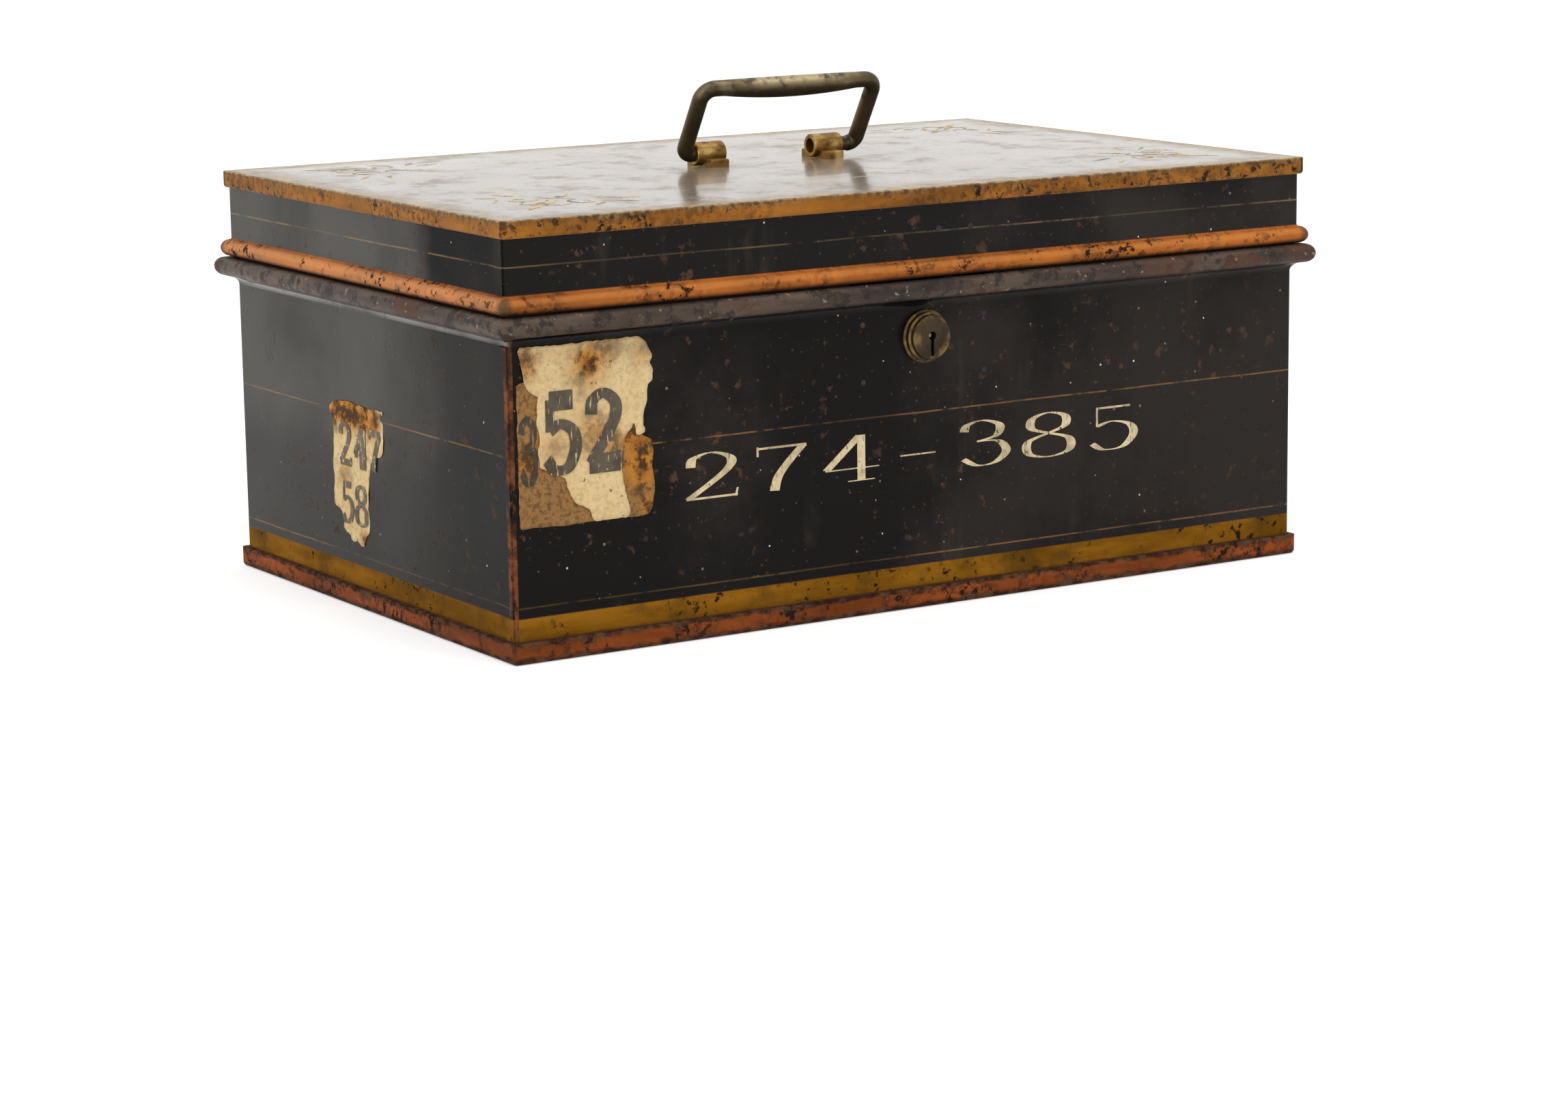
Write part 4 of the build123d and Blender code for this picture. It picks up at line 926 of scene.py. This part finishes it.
# Outlines of the papers in their wall's right and up directions, in millimetres.
FRONT_CREAM = [
    (-192.6, 127), (-170, 126.6), (-150, 126.9), (-138, 127), (-134.5, 124.5), (-132.6, 120.5), (-131.4, 118.6),
    (-133, 116), (-131.3, 113), (-131.6, 109), (-134, 107.2), (-134.3, 101), (-136, 96), (-136.4, 91), (-134.8, 88.4),
    (-137.4, 87.2), (-139.6, 86.6), (-140.6, 94), (-142, 90), (-145.5, 86.6), (-147, 78), (-146.2, 70), (-144.6, 62),
    (-143, 57), (-144, 54.4), (-152, 54.3), (-159.8, 54.4), (-161.8, 59.4), (-168, 62.4), (-170.8, 67.6), (-172.6, 73),
    (-177.5, 75.6), (-183.8, 78), (-184.6, 84), (-183.6, 91), (-185, 97), (-184.6, 103), (-183.8, 106.6),
    (-188.6, 109.8), (-190.2, 114), (-191.4, 120),
]
FRONT_BROWN = [
    (-193.4, 112.4), (-188, 113.4), (-181, 111), (-170, 110), (-150, 103), (-141, 95.6), (-138.6, 90), (-136.4, 86.6),
    (-132.4, 84.8), (-131.8, 80), (-132.6, 74), (-131.6, 66), (-132.4, 58), (-134.6, 54.6), (-139.4, 54), (-150, 54.6),
    (-170, 54.1), (-193.4, 54.5),
]
SIDE_CREAM = [
    (-38, 83.3), (-31.7, 87), (-20, 87.9), (-6, 87.2), (2, 86.8), (14.2, 87.8), (17, 87.2), (10.4, 84.6), (13.3, 82),
    (13.6, 75), (12.5, 69.5), (9.2, 67.4), (4.2, 67), (0.8, 63.7), (-1.3, 57), (-2.1, 50.3), (-3.3, 43.7),
    (-2.1, 39.5), (-2.3, 33.3), (-5, 32), (-7.5, 27), (-10.8, 26.6), (-14.5, 28.4), (-19.2, 27.4), (-20.2, 30),
    (-27.5, 32.8), (-24.2, 36.2), (-28.3, 39.5), (-34.6, 41.2), (-34.4, 50), (-34.6, 57), (-33.8, 72), (-34.2, 79),
]


# Rust stains in the same directions: their place, radius and strength.
FRONT_BROWN_STAINS = [(-138, 83, 11, 0.95), (-137, 72, 8, 0.9), (-187, 82, 7, 0.85), (-134, 58, 4, 0.9)]
FRONT_CREAM_STAINS = [
    (-161, 118.5, 5.2, 1), (-161.5, 116, 9.8, 0.55), (-190, 120.5, 6.5, 0.8), (-152, 124, 7, 0.5), (-136, 121, 6, 0.4),
    (-176.5, 86, 6, 0.35), (-157, 89, 9, 0.6), (-148, 84, 6, 0.6),
]
SIDE_STAINS = [
    (-30, 85, 9.5, 1), (-18, 83.5, 8.5, 1), (-6, 82.5, 8.5, 1), (4, 81.5, 7, 0.95), (-24, 55, 6, 0.5),
    (-7, 30, 4, 0.8),
]
# The torn edges' pitch and depth, in metres, and the seed of their steps.
FRONT_BROWN_TEARS = (0.0022, 0.00028, 4)
FRONT_CREAM_TEARS = (0.0016, 0.00034, 7)
SIDE_TEARS = (0.0018, 0.0004, 11)
# Boxes that the numerals fill: left, right, low and high, in metres.
FRONT_BOX = (-0.1820, -0.1425, 0.0760, 0.1065)
OLD_BOX = (-0.1926, -0.1826, 0.0725, 0.0985)
SIDE_BOX = (-0.0280, 0.0140, 0.0605, 0.0785)
SIDE_LOWER_BOX = (-0.0275, -0.0010, 0.0355, 0.0530)
WALL_BOX = (-0.118, 0.118, 0.0570, 0.0770)
# Brushes: how far out the numerals lie, in metres, and their thin and thick strokes as shares of a box one high.
FRONT_BRUSH = (0.00066, 0.13, 0.21)
OLD_BRUSH = (0.00034, 0.12, 0.20)
SIDE_BRUSH = (0.00046, 0.08, 0.20)
WALL_BRUSH = (0.00005, 0.022, 0.105)


# ---- lid ornament
def panel_height(x, y):
    """Height of the crowned top of the lid."""
    inset = min(LID[0] - abs(x), LID[1] - abs(y))
    return PANEL + CROWN * max(0.0, min(1.0, (inset - CROWN_START) / CROWN_RUN))


def scroll(centre, start, turns, radius, shrink, width):
    """A spiral stroke as (a, b, width) points, thick in its middle."""
    points = []
    count = max(8, int(abs(turns) * 40))
    for index in range(count + 1):
        share = index / count
        angle = start + turns * math.tau * share
        reach = radius * (1 - shrink * share)
        thick = width * (0.25 + 0.75 * math.sin(math.pi * min(1.0, share * 0.85 + 0.12)))
        points.append((centre[0] + reach * math.cos(angle), centre[1] + reach * math.sin(angle), thick))
    return points


def leaf(root, tip, width):
    """A leaf-shaped stroke."""
    points = []
    for index in range(13):
        share = index / 12
        a = root[0] + (tip[0] - root[0]) * share
        b = root[1] + (tip[1] - root[1]) * share
        points.append((a, b, width * math.sin(math.pi * min(1.0, share * 0.9 + 0.06)) ** 0.8))
    return points


def corner_strokes():
    """One corner's scrollwork in insets from the two edges of the lid, in millimetres."""
    strokes = []
    for flip in (False, True):
        half = [
            scroll((60, 41.0), math.pi / 2, 0.95, 7.2, 0.72, 1.9),
            scroll((46, 40.0), -0.2, -0.75, 6.4, 0.55, 1.6),
            scroll((60, 56.5), -math.pi / 2, -0.7, 5.2, 0.6, 1.3),
            leaf((52, 49.5), (38, 34.5), 2.3),
            leaf((66, 33.5), (58, 27.5), 2.0),
            leaf((72, 36.5), (79, 29.5), 1.9),
            leaf((73, 45.0), (86, 40.5), 1.7),
        ]
        strokes += [[(b, a, w) for a, b, w in stroke] if flip else stroke for stroke in half]
    strokes.append(leaf((44, 44), (27, 27), 3.0))
    strokes.append(leaf((57, 57), (66, 66), 2.2))
    return strokes


def ribbon(points, place):
    """A flat painted stroke. Its points are (a, b, width), and place gives a point's spot on the box."""
    bpy.ops.object.select_all(action="DESELECT")
    bpy.ops.mesh.primitive_grid_add(x_subdivisions=len(points) - 1, y_subdivisions=1, size=2)
    stroke = bpy.context.object
    rows = {}
    for vertex in stroke.data.vertices:
        rows.setdefault(round(vertex.co.x, 5), []).append(vertex)
    for index, key in enumerate(sorted(rows)):
        before, after = points[max(0, index - 1)], points[min(len(points) - 1, index + 1)]
        along = Vector((after[0] - before[0], after[1] - before[1])).normalized()
        for vertex in rows[key]:
            side = points[index][2] / 2 * (1 if vertex.co.y > 0 else -1)
            vertex.co = place(points[index][0] - along.y * side, points[index][1] + along.x * side)
    return stroke


def join_all(pieces, name):
    """Join pieces into one object with this name."""
    bpy.ops.object.select_all(action="DESELECT")
    for piece in pieces:
        piece.select_set(True)
    bpy.context.view_layer.objects.active = pieces[0]
    bpy.ops.object.join()
    whole = bpy.context.object
    whole.name = name
    return whole


def gold_leaf():
    """Worn gold, gone in patches down to the dark lid."""
    kit = Coats("gold_scrolls", (0.50, 0.33, 0.10), 0.42, metal=0.3)
    kit.lay(kit.patches(0.35, 0.65, 140, detail=4), shade=(0.72, 0.58, 0.30), rough=0.5)
    gone = kit.patches(0.52, 0.58, 210, rough=0.68)
    kit.lay(gone, shade=(0.045, 0.033, 0.022), rough=0.4, metal=0.0)
    return kit.join(relief=0.00005)


# ---- operators
class DressOperator:
    """What the operators share: they report, and stop the script if their step fails."""

    bl_options = {"REGISTER", "UNDO"}

    def execute(self, context):
        try:
            self.dress(context.scene)
        except Exception as fault:
            self.report({"ERROR"}, str(fault))
            raise
        return {"FINISHED"}


class DEEDBOX_OT_paint_body(DressOperator, bpy.types.Operator):
    """Paint the body's wrapper and base with black japan, a bronze band and ruled lines"""

    bl_idname = "deedbox.paint_body"
    bl_label = "Paint Body"

    def dress(self, scene):
        paint = scene.deedbox_paint
        wear_metal("body_wrapper", paint_wall(paint))
        wear_metal("body_bottom", paint_base(paint))
        inner = paint_inside(paint, "japan_inside", paint.inside)
        for node in ("inner_lip", "handle_backplate"):
            wear_metal(node, inner)


class DEEDBOX_OT_paint_lid(DressOperator, bpy.types.Operator):
    """Paint the lid's skirt and its hemmed top"""

    bl_idname = "deedbox.paint_lid"
    bl_label = "Paint Lid"

    def dress(self, scene):
        wear_metal("lid_skirt", paint_skirt(scene.deedbox_paint))
        wear_metal("lid_top", paint_top(scene.deedbox_paint))


class DEEDBOX_OT_dress_brass(DressOperator, bpy.types.Operator):
    """Age the brass of the handle, its knuckles and the keyhole boss"""

    bl_idname = "deedbox.dress_brass"
    bl_label = "Dress Brass"

    def dress(self, scene):
        brass = scene.deedbox_brass
        wear_metal("handle_bail", old_brass("brass_bail", brass.patina, brass.worn, rub_and_highlight_grip))
        fitting = old_brass("brass_fitting", brass.dull, brass.bright, rub_patches)
        for node in ("handle_knuckle_left", "handle_knuckle_right", "handle_burrs"):
            wear_metal(node, fitting)
        boss = old_brass("brass_boss", brass.dark, tint(brass.bright, 0.34), rub_patches)
        wear_metal("escutcheon", boss)


class DEEDBOX_OT_dress_iron(DressOperator, bpy.types.Operator):
    """Give the hinges, the lock, the hasp and the rivets their aged iron"""

    bl_idname = "deedbox.dress_iron"
    bl_label = "Dress Iron"

    def dress(self, scene):
        hinge = paint_inside(scene.deedbox_paint, "japan_hinge", (0.030, 0.020, 0.015))
        black = paint_inside(scene.deedbox_paint, "japan_rivet", (0.012, 0.010, 0.010))
        steel = old_steel("steel_lock", (0.095, 0.083, 0.071), 0.46)
        bright = old_steel("steel_bolt", (0.22, 0.195, 0.165), 0.36)
        for side in ("left", "right"):
            wear_metal(f"hinge_{side}_body_leaf", hinge)
            wear_metal(f"hinge_{side}_lid_leaf", hinge)
            wear_metal(f"hinge_{side}_pin", steel)
        for node in ("hinge_body_rivets", "hinge_lid_rivets", "hasp_rivets", "lock_rivets"):
            wear_metal(node, black)
        for node in ("lock_cap", "lock_case", "lock_wards", "lid_hasp", "hasp_staple", "body_rim_wire"):
            wear_metal(node, steel)
        for node in ("lock_bolt", "lock_back_spring", "lock_key_pin"):
            wear_metal(node, bright)


class DEEDBOX_OT_lid_scrolls(DressOperator, bpy.types.Operator):
    """Paint the gold scrollwork in the corners of the lid"""

    bl_idname = "deedbox.lid_scrolls"
    bl_label = "Lid Scrolls"

    def dress(self, scene):
        strokes = []
        for sign_x in (-1, 1):
            for sign_y in (-1, 1):

                def place(a, b):
                    x, y = sign_x * (LID[0] - a * MM), sign_y * (LID[1] - b * MM)
                    return x, y, panel_height(x, y) + GOLD_GAP

                strokes += [ribbon(points, place) for points in corner_strokes()]
        scrolls = join_all(strokes, "lid_gold_scrolls")
        scrolls.data.materials.append(gold_leaf())
        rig.ride(scrolls, "lid")
        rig.slot(scrolls, "brass")


class DEEDBOX_OT_front_label(DressOperator, bpy.types.Operator):
    """Paste the torn paper label, in two layers, on the front"""

    bl_idname = "deedbox.front_label"
    bl_label = "Front Label"

    def dress(self, scene):
        paper = scene.deedbox_paper
        aged = paper_material("paper_old", paper.brown, paper, "front", FRONT_BROWN_STAINS, dirt=0.75)
        brown = torn_sheet("label_front_old_layer", FRONT_BROWN, FRONT_BROWN_TEARS, 0.0, paper, "front", aged)
        over = paper.sheet + PAPER_GAP
        aged = paper_material("paper_cream", paper.cream, paper, "front", FRONT_CREAM_STAINS, dirt=0.28)
        cream = torn_sheet("label_front_paper", FRONT_CREAM, FRONT_CREAM_TEARS, over, paper, "front", aged)
        ink = print_material("ink_front", paper.ink, paper.cream, keep=0.63)
        figures = numerals("label_front_numerals", paper.front_number, FRONT_BOX, "front", FRONT_BRUSH, ink)
        ink = print_material("ink_old", tint(paper.ink, 0.6), paper.brown, keep=0.60)
        older = numerals("label_front_old_numeral", paper.old_number, OLD_BOX, "front", OLD_BRUSH, ink)
        for piece in (brown, cream, figures, older):
            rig.ride(piece, "body")
            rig.slot(piece, "paper")
        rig.replaces(cream, "label_front")


class DEEDBOX_OT_side_label(DressOperator, bpy.types.Operator):
    """Paste the narrow torn label on the left side"""

    bl_idname = "deedbox.side_label"
    bl_label = "Side Label"

    def dress(self, scene):
        paper = scene.deedbox_paper
        aged = paper_material("paper_side", paper.cream, paper, "left", SIDE_STAINS, dirt=0.35)
        sheet = torn_sheet("label_side_paper", SIDE_CREAM, SIDE_TEARS, 0.0, paper, "left", aged)
        ink = print_material("ink_side", tint(paper.ink, 1.3), paper.cream, keep=0.58)
        upper = numerals("label_side_numerals", paper.side_number, SIDE_BOX, "left", SIDE_BRUSH, ink)
        lower = numerals(
            "label_side_lower_numerals", paper.side_lower, SIDE_LOWER_BOX, "left", SIDE_BRUSH, ink
        )
        for piece in (sheet, upper, lower):
            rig.ride(piece, "body")
            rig.slot(piece, "paper")
        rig.replaces(sheet, "label_side")


class DEEDBOX_OT_wall_number(DressOperator, bpy.types.Operator):
    """Paint plain cream numerals on the front"""

    bl_idname = "deedbox.wall_number"
    bl_label = "Wall Number"

    def dress(self, scene):
        number = scene.deedbox_paper.wall_number
        cream = print_material("cream_sign_paint", scene.deedbox_paint.cream, (0.05, 0.035, 0.025), keep=0.60)
        figures = numerals("front_painted_numerals", number, WALL_BOX, "front", WALL_BRUSH, cream)
        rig.ride(figures, "body")
        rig.slot(figures, "japanned_black")


BOX_MIDDLE = (0, 0, 0.1)
# The camera that was fitted to the photograph's edges, in metres.
CAMERA_PLACE = (-0.93065, -1.49896, 0.34884)
CAMERA_RIGHT = (0.84588, -0.53319, -0.01384)
CAMERA_UP = (0.11425, 0.15579, 0.98117)


class DEEDBOX_OT_stage(DressOperator, bpy.types.Operator):
    """Set the floor, the even light, the lamps and the camera"""

    bl_idname = "deedbox.stage"
    bl_label = "Stage"

    def dress(self, scene):
        stage = scene.deedbox_stage
        scene.view_settings.view_transform = "Standard"
        bpy.ops.object.select_all(action="DESELECT")
        bpy.ops.mesh.primitive_plane_add(size=stage.floor)
        floor = bpy.context.object
        floor.name = "stage_floor"
        floor.data.materials.append(floor_material(stage.floor_glow))
        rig.stage(floor)
        self.light_world(scene, stage)
        self.lamp("stage_key", place=(0.1, -0.5, 2.4), size=2.2, power=stage.key)
        self.lamp("stage_fill", place=(-2.4, -0.9, 1.2), size=1.8, power=stage.fill)
        self.shoot(scene, stage)

    def light_world(self, scene, stage):
        kit = Shader("stage_world", "worlds", "ShaderNodeOutputWorld")
        strength = kit.blend(seen_rays(kit), stage.sky, 1.0)
        scene.world = kit.close(kit.add("ShaderNodeBackground", Color=(1.0, 1.0, 1.0), Strength=strength))

    def lamp(self, name, place, size, power):
        """A square lamp that looks at the box."""
        bpy.ops.object.light_add(type="AREA", location=place)
        lamp = bpy.context.object
        lamp.name = name
        lamp.data.size = size
        lamp.data.energy = power
        lamp.rotation_euler = (Vector(BOX_MIDDLE) - Vector(place)).to_track_quat("-Z", "Y").to_euler()

    def shoot(self, scene, stage):
        bpy.ops.object.camera_add()
        camera = bpy.context.object
        camera.name = "stage_camera"
        right, up = Vector(CAMERA_RIGHT), Vector(CAMERA_UP)
        turn = Matrix((right, up, right.cross(up))).transposed().to_4x4()
        camera.matrix_world = Matrix.Translation(CAMERA_PLACE) @ turn
        camera.data.sensor_fit = "HORIZONTAL"
        camera.data.sensor_width = 36.0
        camera.data.lens = stage.lens
        camera.data.clip_end = 60.0
        scene.camera = camera


def seen_rays(kit):
    """The rays by which the backdrop is seen: from the camera, in a reflection or through glass."""
    rays = kit.add("ShaderNodeLightPath").outputs
    return kit.either(kit.either(rays["Is Camera Ray"], rays["Is Glossy Ray"]), rays["Is Transmission Ray"])


def floor_material(glow):
    """A pale floor that takes shadows, lifted to white where the camera or a reflection sees it."""
    kit = Shader("stage_floor_paint")
    paint = kit.add("ShaderNodeBsdfDiffuse", Color=(0.93, 0.93, 0.93))
    light = kit.add("ShaderNodeEmission", Color=(1.0, 1.0, 1.0), Strength=kit.both(seen_rays(kit), glow))
    together = kit.add("ShaderNodeAddShader")
    kit.put(together.inputs[0], paint.outputs[0])
    kit.put(together.inputs[1], light.outputs[0])
    return kit.close(together)


class DEEDBOX_PT_panel(bpy.types.Panel):
    """Settings and steps of the deed box"""

    bl_idname = "DEEDBOX_PT_panel"
    bl_label = "Deed Box"
    bl_space_type = "VIEW_3D"
    bl_region_type = "UI"
    bl_category = "Deed Box"

    def draw(self, context):
        for group in GROUPS:
            box = self.layout.box()
            settings = getattr(context.scene, group)
            for name in settings.__annotations__:
                box.prop(settings, name)
        for step in STEPS:
            self.layout.operator(step.bl_idname)


GROUPS = {
    "deedbox_paint": PaintSettings,
    "deedbox_brass": BrassSettings,
    "deedbox_paper": PaperSettings,
    "deedbox_stage": StageSettings,
}
STEPS = (
    DEEDBOX_OT_paint_body,
    DEEDBOX_OT_paint_lid,
    DEEDBOX_OT_dress_brass,
    DEEDBOX_OT_dress_iron,
    DEEDBOX_OT_lid_scrolls,
    DEEDBOX_OT_front_label,
    DEEDBOX_OT_side_label,
    DEEDBOX_OT_wall_number,
    DEEDBOX_OT_stage,
)


def register():
    for group, settings in GROUPS.items():
        bpy.utils.register_class(settings)
        setattr(bpy.types.Scene, group, PointerProperty(type=settings))
    for step in STEPS:
        bpy.utils.register_class(step)
    bpy.utils.register_class(DEEDBOX_PT_panel)


def unregister():
    bpy.utils.unregister_class(DEEDBOX_PT_panel)
    for step in reversed(STEPS):
        bpy.utils.unregister_class(step)
    for group, settings in reversed(GROUPS.items()):
        delattr(bpy.types.Scene, group)
        bpy.utils.unregister_class(settings)


def main():
    register()
    for step in STEPS:
        getattr(bpy.ops.deedbox, step.bl_idname.partition(".")[2])()
    boxes = {"cad": CAD_BOX, "visual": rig.bounds()}
    with open("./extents.json", "w") as target:
        json.dump({name: [list(corner) for corner in box] for name, box in boxes.items()}, target)


if __name__ == "__main__":
    main()
